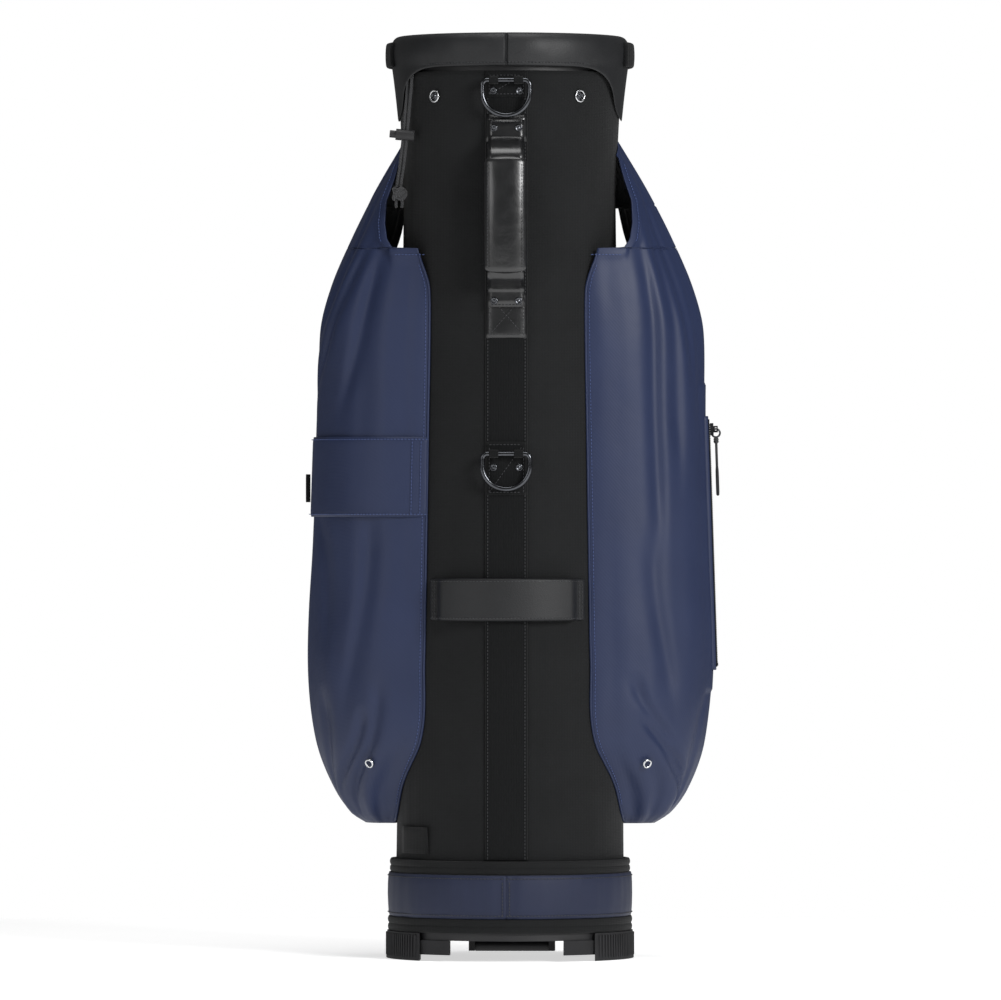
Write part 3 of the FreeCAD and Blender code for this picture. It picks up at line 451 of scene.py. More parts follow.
def swollen(share, power):
    """A cosine or sine made squarer by a power under 1, its sign kept."""
    return math.copysign(abs(share) ** power, share)


def eased(knots, at, reach):
    """between(), with its corners rounded over a reach."""
    shifts = (-1.0, -0.5, 0.0, 0.5, 1.0)
    return sum(between(knots, at + shift * reach) for shift in shifts) / len(shifts)


def mesh_piece(name, points, faces, material, flat=False):
    """A mesh object from points and faces, normals outward."""
    mesh = bpy.data.meshes.new(name)
    mesh.from_pydata([tuple(point) for point in points], [], faces)
    work = bmesh.new()
    work.from_mesh(mesh)
    bmesh.ops.remove_doubles(work, verts=work.verts, dist=1e-6)
    bmesh.ops.recalc_face_normals(work, faces=work.faces)
    work.to_mesh(mesh)
    work.free()
    for face in mesh.polygons:
        face.use_smooth = not flat
    mesh.materials.append(material)
    piece = bpy.data.objects.new(name, mesh)
    bpy.context.scene.collection.objects.link(piece)
    return piece


def grid_faces(rows, columns, wrap_rows=False, wrap_columns=False, start=0):
    """Quads of a grid whose points run row by row."""
    faces = []
    for i in range(rows if wrap_rows else rows - 1):
        for j in range(columns if wrap_columns else columns - 1):
            this, below = start + i * columns, start + ((i + 1) % rows) * columns
            after = (j + 1) % columns
            faces.append((this + j, this + after, below + after, below + j))
    return faces


def skin_faces(rows, loop, start=0):
    """Faces of a skin through rings of points, closed at both ends."""
    last = start + (rows - 1) * loop
    return grid_faces(rows, loop, wrap_columns=True, start=start) + [
        tuple(range(start, start + loop)), tuple(range(last, last + loop))]


def turned(name, profile, material, angles=144, start=0.0, sweep=FULL_TURN, shape=None):
    """A closed (radius, height) profile turned about Z; shape may move each point."""
    whole = abs(sweep - FULL_TURN) < 1e-6
    rows = angles if whole else angles + 1
    points = []
    for i in range(rows):
        angle = start + sweep * i / angles
        for radius, height in profile:
            point = spoke(angle, radius, height)
            points.append(shape(point, angle) if shape else point)
    loop = len(profile)
    faces = grid_faces(rows, loop, True, True) if whole else skin_faces(rows, loop)
    return mesh_piece(name, points, faces, material)


def lathe(name, profile, centre, out, material, steps=24):
    """A closed (radius, along) profile turned about a direction through a centre."""
    out = Vector(out).normalized()
    side = out.orthogonal().normalized()
    other = out.cross(side)
    points = []
    for i in range(steps):
        angle = FULL_TURN * i / steps
        away = side * math.cos(angle) + other * math.sin(angle)
        for radius, along in profile:
            points.append(Vector(centre) + away * radius + out * along)
    return mesh_piece(name, points, grid_faces(steps, len(profile), True, True), material)


def strip(name, path, width, thick, material, crown=0.0, columns=9, edge=0.25):
    """A strap: width along each path entry's side vector, thick along its out vector.

    path holds (point, side, out); crown raises the middle.
    """
    border = 0.14   # share of the half width that thins towards the edge
    section = []
    for face in (1, -1):
        for j in range(columns):
            t = face * (2 * j / (columns - 1) - 1)
            thin = edge * max(0, abs(t) - 1 + border) / border / 2
            section.append((t, face * (0.5 - thin) + (crown * (1 - t * t) if face > 0 else 0)))
    points = []
    for point, side, out in path:
        for across, up in section:
            points.append(Vector(point) + Vector(side) * (across * width / 2)
                          + Vector(out) * (up * thick))
    return mesh_piece(name, points, skin_faces(len(path), len(section)), material)


def seam_points(path, spacing):
    """Points at even spacing along a line of points."""
    made, carried = [], 0.0
    for a, b in zip(path, path[1:]):
        a, b = Vector(a), Vector(b)
        run = (b - a).length
        while carried < run:
            made.append(a.lerp(b, carried / run))
            carried += spacing
        carried -= run
    return made


def stitches(name, seams, material, radius=0.00042, gap=0.32):
    """Rows of short sewn stitches; each seam is a line of points just above the cloth."""
    points, faces = [], []
    pitch = settings().stitch
    corners, shape = 5, ((0.0, 0.35), (0.2, 1.0), (0.8, 1.0), (1.0, 0.35))   # (along, share of radius)
    for seam in seams:
        places = seam_points(seam, pitch)
        for a, b in zip(places, places[1:]):
            way = b - a
            if way.length < pitch * 0.5:
                continue
            end = a + way * (1 - gap)
            up = way.orthogonal().normalized()
            side = way.cross(up).normalized()
            base = len(points)
            for along, size in shape:
                middle = a.lerp(end, along)
                for corner in range(corners):
                    angle = FULL_TURN * corner / corners
                    away = up * math.cos(angle) + side * math.sin(angle)
                    points.append(middle + away * radius * size)
            faces += skin_faces(len(shape), corners, base)
    return mesh_piece(name, points, faces, material)


def sew(name, seams, thread="black_thread", slot="black_webbing"):
    """Stitch rows as a piece of their own on the bag."""
    return settle(stitches(name, seams, finish(thread)), slot=slot)


def cordage(name, path, radius, material, sides=8, closed=False):
    """A round piping or cord through points."""
    points = []
    count = len(path)
    for i, point in enumerate(path):
        before = Vector(path[(i - 1) % count] if closed else path[max(0, i - 1)])
        after = Vector(path[(i + 1) % count] if closed else path[min(count - 1, i + 1)])
        way = (after - before).normalized()
        side = way.cross(Vector((0.13, 0.21, 0.97))).normalized()
        up = side.cross(way)
        for k in range(sides):
            angle = FULL_TURN * k / sides
            points.append(Vector(point) + (side * math.cos(angle) + up * math.sin(angle)) * radius)
    faces = grid_faces(count, sides, True, True) if closed else skin_faces(count, sides)
    return mesh_piece(name, points, faces, material)


def settle(piece, body="bag", slot=None, nodes=()):
    """Put a finished piece on its body, in its material slot, for the CAD nodes it stands for."""
    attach(piece, body)
    if nodes:
        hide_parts(*nodes)
    return piece


def inflate(piece, keep, pressure=3.0, cap=0.005, voxel=0.005, frames=16):
    """Cloth pressure on a closed piece, applied; the cap and keep() limit where each point goes."""
    even = piece.modifiers.new("even", "REMESH")
    even.mode = "VOXEL"
    even.voxel_size = voxel
    apply_modifier(piece, "even")
    rest = [vertex.co.copy() for vertex in piece.data.vertices]
    cloth = piece.modifiers.new("air", "CLOTH")
    cloth.settings.use_pressure = True
    cloth.settings.uniform_pressure_force = pressure
    cloth.settings.effector_weights.gravity = 0
    for step in range(1, frames + 1):
        bpy.context.scene.frame_set(step)
    apply_modifier(piece, "air")
    bpy.context.scene.frame_set(1)
    for vertex, start in zip(piece.data.vertices, rest):
        move = vertex.co - start
        if move.length > cap:
            vertex.co = start + move * (cap / move.length)
    for vertex in piece.data.vertices:
        vertex.co = keep(vertex.co)
    return soften(piece)


def apply_modifier(piece, name):
    """Turn a modifier's result into the piece's own mesh."""
    graph = bpy.context.evaluated_depsgraph_get()
    graph.update()
    made = bpy.data.meshes.new_from_object(piece.evaluated_get(graph), depsgraph=graph)
    piece.modifiers.remove(piece.modifiers[name])
    old = piece.data
    piece.data = made
    bpy.data.meshes.remove(old)
    for face in made.polygons:
        face.use_smooth = True


def soften(piece, levels=1):
    """One or more subdivision levels."""
    modifier = piece.modifiers.new("soft", "SUBSURF")
    modifier.levels = levels
    modifier.render_levels = levels
    return piece


def wrap_patch(name, left, right, low, high, material, lift=0.0, thick=0.0015, rows=0, columns=0,
               swell=None):
    """A layer that follows the tube between two widths; swell(across, up) lifts it further."""
    rows = rows or max(6, int((high - low) / 0.004))
    columns = columns or max(8, int((right - left) / 0.003))
    edge = 0.0016   # width of the rounded border
    points = []
    for i in range(rows):
        up = i / (rows - 1)
        height = low + (high - low) * up
        outer, inner = [], []
        for j in range(columns):
            across = j / (columns - 1)
            place = left + (right - left) * across
            border = min(across, 1 - across) * (right - left)
            ends = min(up, 1 - up) * (high - low)
            rounding = 0.35 * thick * (1 - smooth_step(0, edge, min(border, ends)))
            more = swell(across, up) if swell else 0.0
            outer.append(across_tube(place, height, lift + thick + more - rounding))
            inner.append(across_tube(place, height, lift + max(0.0, more)))
        points += outer + inner[::-1]
    return mesh_piece(name, points, skin_faces(rows, 2 * columns), material)


def tube_line(left, right, low, high, lift, steps=24):
    """A line of points on the tube from one corner to another."""
    shares = [i / steps for i in range(steps + 1)]
    return [across_tube(left + (right - left) * t, low + (high - low) * t, lift) for t in shares]


def tab_seams(left, right, low, high, diagonals, inset=0.003, lift=0.0036):
    """Stitch lines just inside a tab's border, with one or two diagonals across it."""
    a, b, c, d = left + inset, right - inset, low + inset, high - inset
    ends = [(a, b, c, c), (a, b, d, d), (a, a, c, d), (b, b, c, d), (a, b, c, d), (a, b, d, c)]
    return [tube_line(*line, lift) for line in ends[:4 + diagonals]]


# ------------------------------------------------------------------ tube, cuff and inside
def build_tube():
    """The woven cloth of the tube."""
    low, high = heights("tube_shell")
    wall = 0.003
    levels = [low + (high - low) * i / 150 for i in range(151)]
    profile = [(tube_radius(z), z) for z in levels] + [(tube_radius(z) - wall, z) for z in levels[::-6]]

    def sag(point, angle):
        """The cloth lies in slack between the stays: long shallow hollows, never outward."""
        radius = math.hypot(point.x, point.y)
        if radius < tube_radius(point.z) - wall / 2:
            return point
        slow = noise.noise(Vector((3.1 * math.sin(angle), 3.1 * math.cos(angle), point.z * 2.2)))
        fine = noise.noise(Vector((11 * math.sin(angle), 11 * math.cos(angle), point.z * 9 + 4)))
        ends = smooth_step(low, low + 0.06, point.z) * (1 - smooth_step(high - 0.03, high, point.z))
        inward = (0.0011 * (0.5 + slow) + 0.0004 * (0.5 + fine)) * ends
        scale = (radius - max(0.0, inward)) / radius
        return Vector((point.x * scale, point.y * scale, point.z))

    tube = turned("tube_cloth", profile, finish("canvas"), angles=180, shape=sag)
    settle(tube, slot="black_canvas", nodes=["tube_shell"])


CUFF_RADIUS = 0.1145


def cuff_lower_edge(angle):
    """Height of the cuff's lower edge: level across the front, dropping at the sides."""
    across = abs(CUFF_RADIUS * math.sin(angle))
    return eased([(0, 0.8665), (0.070, 0.8660), (0.084, 0.8640), (0.0955, 0.8575), (0.103, 0.8440),
                  (0.107, 0.8320), (0.111, 0.8200), (CUFF_RADIUS, 0.8140)], across, 0.004)


def build_cuff():
    """The padded leather cuff with its seam, and the lift handle on each side of it."""
    turns = [FULL_TURN * i / 240 for i in range(5, 236)]
    turns += [i * 0.0004 / CUFF_RADIUS for i in range(-20, 21)]   # close together at the seam
    turns += [side * math.radians(step) for side in (-1, 1) for step in (4.6, 5.4, 6.2)]
    turns = sorted(turn % FULL_TURN for turn in turns)
    points = []
    for angle in turns:
        edge = cuff_lower_edge(angle)
        seam = min(abs(angle), abs(FULL_TURN - angle)) * CUFF_RADIUS
        groove = 0.0022 * math.exp(-(seam / 0.0011) ** 2)
        pucker = 0.0005 * noise.noise(Vector((14 * math.sin(angle), 14 * math.cos(angle), 3.1)))
        roll = 0.0011 * noise.noise(Vector((5 * math.sin(angle), 5 * math.cos(angle), 1.7)))
        aside = smooth_step(0.098, 0.110, abs(CUFF_RADIUS * math.sin(angle)))

        def hug(radius, height):
            """At the sides the skirt lies in against the tube below the roll."""
            near = tube_radius(height) + 0.0008 + (radius - 0.1134) * 0.8
            return radius + (near - radius) * aside * (1 - smooth_step(0.832, 0.866, height))

        middle = edge + (0.868 - edge) * 0.5 + 0.002
        section = [(hug(0.1134, edge), edge + 0.0006), (hug(0.1140, edge), edge),
                   (hug(0.1149, edge), edge + 0.0008),
                   (hug(0.1150, edge + 0.004) + pucker * 0.6, edge + 0.004),
                   (hug(0.1150, middle) + pucker, middle),
                   (0.1152 + pucker, 0.8690), (0.1164 + pucker * 0.5, 0.8740), (0.1172 + roll, 0.8800),
                   (0.1172 + roll, 0.8855), (0.1163 + roll, 0.8915), (0.1142 + roll, 0.8958),
                   (0.1110, 0.8982), (0.1075, 0.8990), (0.1040, 0.8980), (0.1012, 0.8950), (0.1000, 0.8905),
                   (0.0998, 0.8850), (0.1035, 0.8846), (0.1100, 0.8846), (0.1128, 0.8800), (0.1133, 0.8700),
                   (hug(0.1133, middle), middle)]
        for index, (radius, height) in enumerate(section):
            on_face = 1 < index < 16   # the seam's groove leaves the inner layer alone
            points.append(spoke(angle, radius - (groove if on_face else 0.0), height))
    faces = grid_faces(len(turns), len(section), True, True)
    cuff = soften(mesh_piece("cuff_leather", points, faces, finish("leather")))
    settle(cuff, slot="black_leather", nodes=["cuff"])
    sew("cuff_stitches", [[spoke(angle, 0.1155, cuff_lower_edge(angle) + 0.0032)
                           for angle in [-0.75 + 1.5 * i / 140 for i in range(141)]]])

    for side, word in SIDES:
        path = []
        for i in range(25):
            t = i / 24
            angle = math.radians(side * (73 + 34 * t))
            stand = 0.1172 + 0.0016 * math.sin(math.pi * t)
            path.append((spoke(angle, stand, 0.8805), UP, spoke(angle)))
        strap = strip("lift_handle_" + word, path, 0.0255, 0.0040, finish("webbing"), crown=0.25,
                      columns=15, edge=1.0)
        settle(soften(strap), slot="black_webbing", nodes=["side_lift_handles"])


def build_divider():
    """Three padded bars across the collar, each with a cloth sleeve hanging to the bottom."""
    low, high = heights("divider_frame")
    drop = heights("divider_sleeves")[0]
    ring = 0.0985    # inner radius of the collar
    pitch = 0.033    # distance of the two side bars from the middle
    half = math.sqrt(ring * ring - pitch * pitch)
    spans = [((-ring, 0, 0), (ring, 0, 0), 0.0)]
    spans += [((side * pitch, -half, 0), (side * pitch, half, 0), 0.0004 * side) for side in (-1, 1)]
    for index, (start, end, shift) in enumerate(spans):
        a, b = Vector(start), Vector(end)
        way = (b - a).normalized()
        side = Vector((way.y, -way.x, 0))
        points = []
        rows, loop = 60, 16
        for i in range(rows):
            t = i / (rows - 1)
            place = a.lerp(b, t)
            plump = 1 + 0.05 * noise.noise(Vector((t * 12, index * 3.3, 0.5)))
            for k in range(loop):
                angle = FULL_TURN * k / loop
                across = swollen(math.cos(angle), 0.8) * 0.0043 * plump
                up = swollen(math.sin(angle), 0.7) * (high - low) / 2
                points.append(place + side * across + UP * ((low + high) / 2 + up + shift))
        cover = mesh_piece(f"divider_cover_{index + 1}", points, skin_faces(rows, loop),
                           finish("lining"))
        settle(cover, slot="grey_lining", nodes=["divider_frame"])

        reach = ring if index == 0 else half
        points, thick = [], 0.0015
        rows, columns = 90, 30
        for i in range(rows):
            height = drop + (low - 0.0006 - drop) * i / (rows - 1)
            tight = smooth_step(drop, drop + 0.03, height) * (1 - smooth_step(low - 0.05, low, height))
            line = []
            for j in range(columns):
                t = -1 + 2 * j / (columns - 1)
                ripple = noise.noise(Vector((t * 2.2, height * 6, index * 5.1)))
                wave = 0.0022 * tight * ripple * (1 - t * t)
                place = (a + b) / 2 + way * (t * reach) + side * wave
                line.append(Vector((place.x, place.y, height)))
            points += [point + side * (thick / 2) for point in line]
            points += [point - side * (thick / 2) for point in line[::-1]]
        sleeve = mesh_piece(f"divider_sleeve_{index + 1}", points, skin_faces(rows, 2 * columns),
                            finish("lining"))
        settle(sleeve, slot="grey_lining", nodes=["divider_sleeves"])


# ------------------------------------------------------------------ spine
def build_spine():
    """The spine webbing, the riveted tabs, the loops that hold the rings and the corner flap."""
    half = settings().web_half
    low, top = TUBE_LOW + 0.0005, heights("spine_webbing")[1]
    webbing = wrap_patch("spine_strap", -half, half, low, top, finish("webbing"), lift=0.0002,
                         thick=0.0014, rows=180, columns=22)
    settle(webbing, slot="black_webbing", nodes=["spine_webbing"])
    seam = half - 0.0028
    sew("spine_stitches", [tube_line(side * seam, side * seam, low + 0.0005, top - 0.001, 0.0019, 120)
                           for side in (-1, 1)])

    left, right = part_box("handle_tabs")[0][0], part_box("handle_tabs")[1][0]
    foot, head = heights("handle_tabs")
    tabs = [(label + "_cloth", label, label, "webbing", "black_webbing", 1,
             (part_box(label)[0][0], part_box(label)[1][0]) + heights(label))
            for label in ("upper_ring_tab", "lower_ring_tab")]
    tabs += [(f"handle_{word}_patch", f"handle_{word}", "handle_tabs", "handle", "black_leather", 2,
              (left, right, low, high))
             for word, low, high in (("upper", head - 0.026, head), ("lower", foot, foot + 0.044))]
    for name, label, node, cloth, slot, diagonals, outline in tabs:
        patch = wrap_patch(name, *outline, finish(cloth), lift=0.0015, thick=0.0018)
        settle(patch, slot=slot, nodes=[node])
        sew(label + "_stitches", tab_seams(*outline, diagonals))

    keeper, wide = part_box("ring_keepers"), 0.009
    for label, height, depth in (("upper", 0.852, 0.1186), ("lower", 0.491, 0.1167)):
        for part, left in (("a", keeper[0][0] + wide / 2), ("b", keeper[1][0] - wide / 2)):
            path = []
            for k in range(15):
                turn = math.radians(70 - 320 * k / 14 + 90)
                way = Vector((0, math.sin(turn), math.cos(turn)))
                path.append((Vector((left, -depth, height)) + way * 0.0034, ACROSS, way))
            piece = strip(f"{label}_ring_loop_{part}", path, wide, 0.0013, finish("webbing"))
            settle(piece, slot="black_webbing", nodes=["ring_keepers"])

    low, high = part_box("base_corner_tab")
    fold = wrap_patch("base_corner_flap", low[0], high[0], low[2], high[2], finish("canvas"),
                      lift=0.0003, thick=0.0012, swell=lambda across, up: 0.002 * across * up)
    settle(fold, slot="black_canvas", nodes=["base_corner_tab"])


def build_cart_band():
    """The leather band that a cart's belt passes under."""
    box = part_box("cart_strap_band")
    left, right, low, high = box[0][0], box[1][0], box[0][2], box[1][2]

    def stand(across, up):
        """Sewn flat at both ends, off the tube between them, a little slack at the lower edge."""
        ends = min(across, 1 - across) * (right - left)
        return (0.0066 + 0.0008 * (1 - up)) * smooth_step(0.007, 0.016, ends)

    band = wrap_patch("cart_band_leather", left, right, low, high, finish("leather"), lift=0.0003,
                      thick=0.0022, rows=22, columns=90, swell=stand)
    settle(soften(band), slot="black_leather", nodes=["cart_strap_band"])

    def on_band(across, up):
        """A stitch's place on the band, from its shares across and up."""
        return across_tube(left + (right - left) * across, low + (high - low) * up,
                           0.0027 + stand(across, up))

    inset = 0.0032 / (high - low)
    seams = [[on_band(i / 90, up) for i in range(1, 90)] for up in (inset, 1 - inset)]
    seams += [[on_band(across, 0.08 + 0.84 * i / 12) for i in range(13)]
              for across in (0.022, 0.04, 0.96, 0.978)]
    sew("cart_band_stitches", seams)


def bezier(a, b, c, d, steps):
    """Points on a cubic curve."""
    return [a * (1 - t) ** 3 + b * 3 * t * (1 - t) ** 2 + c * 3 * t * t * (1 - t) + d * t ** 3
            for t in [i / steps for i in range(steps + 1)]]


def build_handle():
    """The padded grip and the two strap ends that hold it off the spine."""
    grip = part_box("handle_grip")
    middle = middle_of("handle_grip")
    low, high = heights("handle_grip")
    half_width, half_depth = (grip[1][0] - grip[0][0]) / 2, (grip[1][1] - grip[0][1]) / 2
    arch = 0.0026    # how far the grip bows out in its middle
    rows, loop = 64, 40
    points = []
    for i in range(rows):
        t = i / (rows - 1)
        height = low + (high - low) * t
        closing = min(1.0, math.sqrt(max(0.0, 1 - abs(2 * t - 1) ** 26)) + 0.02)
        plump = 0.90 + 0.10 * math.sin(math.pi * t)
        bow = -arch * math.sin(math.pi * t) + 0.0012
        for k in range(loop):
            angle = FULL_TURN * k / loop
            across, out = math.cos(angle), math.sin(angle)
            fold = 1 + 0.022 * noise.noise(Vector((across * 2.5, out * 2.5, height * 42))) * abs(out)
            across = swollen(across, 0.78) * half_width * (0.955 + 0.045 * plump) * closing
            out = out * half_depth * plump * fold * closing
            points.append(Vector((middle.x + across, middle.y + out + bow, height)))
    pad = soften(mesh_piece("handle_pad", points, skin_faces(rows, loop), finish("handle")))
    settle(pad, slot="black_leather", nodes=["handle_grip"])
    inset = 0.006    # from the grip's ends to its side seams
    seams = [[Vector((middle.x + side * (half_width - 0.0032),
                      middle.y - half_depth * 0.80 - arch * math.sin(math.pi * i / 40),
                      low + inset + (high - low - 2 * inset) * i / 40)) for i in range(41)]
             for side in (-1, 1)]
    sew("handle_stitches", seams)

    seams = []
    foot, head = heights("handle_strap")
    for word, top, knee, sign in (("upper", head, high, 1), ("lower", foot, low, -1)):
        down = -sign * UP
        start, flat = (on_tube(0, level, 0.0050) for level in (top, top - sign * 0.014))
        bent = Vector((0, middle.y, knee - sign * 0.004))
        line = [start, start.lerp(flat, 0.5)]
        line += bezier(flat, flat + down * 0.010, bent - down * 0.013, bent, 18)
        path = []
        for i, point in enumerate(line):
            way = (line[min(i + 1, len(line) - 1)] - line[max(i - 1, 0)]).normalized()
            out = ACROSS.cross(way).normalized()
            path.append((point, ACROSS, out if out.y < 0 else -out))
        end = strip("handle_end_" + word, path, 0.035, 0.0024, finish("handle"), crown=0.15)
        settle(end, slot="black_webbing", nodes=["handle_strap"])

        seam = 0.0145    # half the distance between the two side seams
        face = [Vector((0, -(tube_radius(top - sign * step) + 0.0066), top)) for step in (0, 0.013)]
        seams += [[face[0] + ACROSS * across + down * 0.001, face[1] + ACROSS * across + down * 0.013]
                  for across in (-seam, seam)]
        seams.append([face[0] + ACROSS * across + down * 0.002 for across in (-seam, seam)])
    sew("handle_end_stitches", seams)


# ------------------------------------------------------------------ side pockets
POCKET_SHAPE = [  # height, reach from the tube axis, half depth, half width of the oval, in metres
    (0.131, 0.143, 0.020, 0.024), (0.141, 0.160, 0.034, 0.042), (0.165, 0.177, 0.050, 0.062),
    (0.212, 0.192, 0.082, 0.100), (0.290, 0.199, 0.086, 0.103), (0.405, 0.1954, 0.086, 0.102),
    (0.520, 0.1915, 0.086, 0.099), (0.610, 0.190, 0.086, 0.098), (0.655, 0.179, 0.084, 0.092),
    (0.700, 0.160, 0.076, 0.080), (0.745, 0.137, 0.060, 0.064), (0.800, 0.105, 0.040, 0.046)]
POCKET_CENTRE = 0.010    # how far the pockets sit behind the bag's middle
MOUTH = 0.6925           # height of the pocket's open mouth
ARC = 0.0014             # metres of cloth for each degree round the pocket


def catmull(knots, at):
    """A smooth curve through (where, value) knots."""
    at = min(knots[-1][0], max(knots[0][0], at))
    for i in range(len(knots) - 1):
        (x0, y0), (x1, y1) = knots[i], knots[i + 1]
        if at <= x1:
            before = knots[i - 1] if i else (2 * x0 - x1, 2 * y0 - y1)
            after = knots[i + 2] if i + 2 < len(knots) else (2 * x1 - x0, 2 * y1 - y0)
            slope0 = (y1 - before[1]) / (x1 - before[0])
            slope1 = (after[1] - y0) / (after[0] - x0)
            t = (at - x0) / (x1 - x0)
            run = x1 - x0
            return ((2 * t ** 3 - 3 * t * t + 1) * y0 + (t ** 3 - 2 * t * t + t) * run * slope0
                    + (3 * t * t - 2 * t ** 3) * y1 + (t ** 3 - t * t) * run * slope1)


@functools.lru_cache(maxsize=None)
def pocket_oval(height):
    """(reach, half depth, half width) of the pocket at a height."""
    return [catmull([(knot[0], knot[index]) for knot in POCKET_SHAPE], height) for index in (1, 2, 3)]


def pocket_point(side, height, turn, lift=0.0):
    """On the pocket at an angle: -90 faces the spine, 0 straight out, 90 faces the belly."""
    reach, depth, half = pocket_oval(height)
    angle = math.radians(turn)
    across, along = math.cos(angle), math.sin(angle)
    normal = Vector((side * across / half, along / depth, 0)).normalized()
    place = Vector((side * (reach - half + half * across), POCKET_CENTRE + depth * along, height))
    return place + normal * lift


@functools.lru_cache(maxsize=None)
def meeting_turn(side, height, near):
    """Where the pocket's curve reaches the tube, on the spine side or the belly side."""
    radius = tube_radius(height) + 0.0004
    low, high = (-180.0, -20.0) if near else (20.0, 180.0)
    outside, inside = (high, low) if near else (low, high)
    for _ in range(40):
        middle = (inside + outside) / 2
        point = pocket_point(side, height, middle)
        if math.hypot(point.x, point.y) > radius:
            outside = middle
        else:
            inside = middle
    return outside


def pocket_mouth(height, near):
    """How far from the axis the cloth's free edge lies, above the pocket's mouth; None below it."""
    outline = ([(0.690, 0.060), (0.692, 0.113), (0.700, 0.1185), (0.716, 0.1208), (0.738, 0.1195),
                (0.760, 0.1120), (0.782, 0.1060)] if near else
               [(0.692, 0.060), (0.6935, 0.1150), (0.700, 0.1125), (0.710, 0.1095), (0.722, 0.1068),
                (0.734, 0.1045)])
    if height <= outline[0][0] or height >= outline[-1][0]:
        return None
    return between(outline, height)


@functools.lru_cache(maxsize=None)
def pocket_edge(side, height, near):
    """The turn at which the pocket's cloth ends at a height."""
    mouth = pocket_mouth(height, near)
    meet = meeting_turn(side, height, near)
    if near:  # the loose corner under the arm opening
        meet += 5.0 * smooth_step(0.650, 0.692, height) * (1 - smooth_step(0.745, 0.782, height))
    if mouth is None:
        return meet
    reach, _, half = pocket_oval(height)
    share = (mouth - (reach - half)) / half
    if share >= 0.999:
        return -3.0 if near else 3.0
    turn = math.degrees(math.acos(max(-1, min(1, share))))
    return max(meet, -turn) if near else min(meet, turn)


CREASES = {  # turn and height where each crease starts and ends, its depth and half width in metres
    -1: [(-44, 0.686, -14, 0.560, 0.0042, 0.0075), (-58, 0.672, -46, 0.540, 0.0034, 0.0080),
         (-30, 0.735, -8, 0.600, 0.0034, 0.0085), (-66, 0.425, -52, 0.250, 0.0036, 0.0100),
         (-24, 0.425, -38, 0.300, 0.0026, 0.0100), (-60, 0.236, -34, 0.168, 0.0046, 0.0065),
         (-72, 0.262, -48, 0.150, 0.0040, 0.0060), (-30, 0.250, -14, 0.150, 0.0036, 0.0080),
         (8, 0.560, 16, 0.350, 0.0026, 0.0120), (30, 0.640, 44, 0.470, 0.0030, 0.0110)],
    1: [(-52, 0.688, -60, 0.400, 0.0048, 0.0080), (-36, 0.700, -44, 0.470, 0.0040, 0.0085),
        (-22, 0.742, -30, 0.560, 0.0036, 0.0090), (-60, 0.400, -52, 0.245, 0.0036, 0.0090),
        (-70, 0.268, -46, 0.205, 0.0044, 0.0060), (-62, 0.232, -30, 0.176, 0.0050, 0.0060),
        (-50, 0.205, -22, 0.150, 0.0040, 0.0060), (-14, 0.252, -24, 0.150, 0.0032, 0.0080),
        (34, 0.610, 46, 0.420, 0.0030, 0.0110), (30, 0.300, 44, 0.180, 0.0034, 0.0090)]}


def pocket_folds(side, height, turn):
    """How far the cloth lies under the full shape at a place: soft folds and gathers, in metres."""
    seed = 3.7 if side > 0 else 9.1
    slow = noise.noise(Vector((turn / 34 + seed, height * 9, 0.3)))
    wave = noise.noise(Vector((turn / 13 + seed, height * 3.4, 5.2)))
    depth = 0.0022 * (0.5 + slow) + 0.0014 * (0.5 + wave)
    # slack below the mouth hangs in upright folds that fade downward
    under = smooth_step(0.47, 0.66, height) * (1 - smooth_step(0.70, 0.750, height))
    upright = math.sin(math.radians(turn) * 7.5 + seed + 1.1 * math.sin(height * 21))
    depth += 0.0034 * under * (0.5 + 0.5 * upright) * (1 - smooth_step(20, 80, abs(turn + 20)))
    # gathers fan out of the narrow foot of the pocket
    low = (1 - smooth_step(0.150, 0.262, height)) * smooth_step(0.131, 0.146, height)
    spread = 8 + 5 * noise.noise(Vector((seed, turn / 50, 1)))
    fan = math.sin(math.radians(turn) * spread + height * 34 + seed)
    depth += 0.0034 * low * (0.5 + 0.5 * fan)
    for turn0, high, turn1, foot, strength, width in CREASES[side]:
        along = (high - height) / (high - foot)
        if -0.25 < along < 1.25:
            bend = 3.0 * math.sin(4.0 * along + seed)
            off = (turn - turn0 - (turn1 - turn0) * along - bend) * 0.00150 / width
            fade = smooth_step(-0.2, 0.15, along) * (1 - smooth_step(0.7, 1.2, along))
            # a soft valley with a slightly sharper far side
            depth += strength * fade * math.exp(-(off * (1.35 if off > 0 else 0.85)) ** 2)
    if side > 0 and 0.26 < height < 0.56:
        depth *= 0.15 + 0.85 * smooth_step(6, 20, abs(turn))
    return depth


def hem_distance(side, height, turn):
    """Distance in metres from the free edge of the arm opening, for the folded hem."""
    nearest = 1.0
    for near in (True, False):
        if pocket_mouth(height, near) is not None:
            edge = pocket_edge(side, height, near)
            nearest = min(nearest, abs(turn - edge) * ARC)
    point = pocket_point(side, height, turn)
    if height < 0.692 and abs(point.x) < 0.116:
        nearest = min(nearest, math.hypot(MOUTH - height, max(0.0, abs(point.x) - 0.110)))
    return nearest


def pocket_cloth(side, height, turn, lift=0.0):
    """A place on the finished pocket cloth."""
    hem = hem_distance(side, height, turn)
    raised = 0.0007 * (1 - smooth_step(0.0085, 0.0100, hem))    # the fold of the hem, then its seam
    raised -= 0.0006 * math.exp(-((hem - 0.0104) / 0.0009) ** 2)
    edges = [abs(turn - meeting_turn(side, height, near)) * ARC for near in (True, False)]
    sewn = smooth_step(0.0, 0.020, min(edges))
    calm = sewn * (0.25 + 0.75 * smooth_step(0.004, 0.020, hem))
    return pocket_point(side, height, turn, lift + raised - pocket_folds(side, height, turn) * calm)


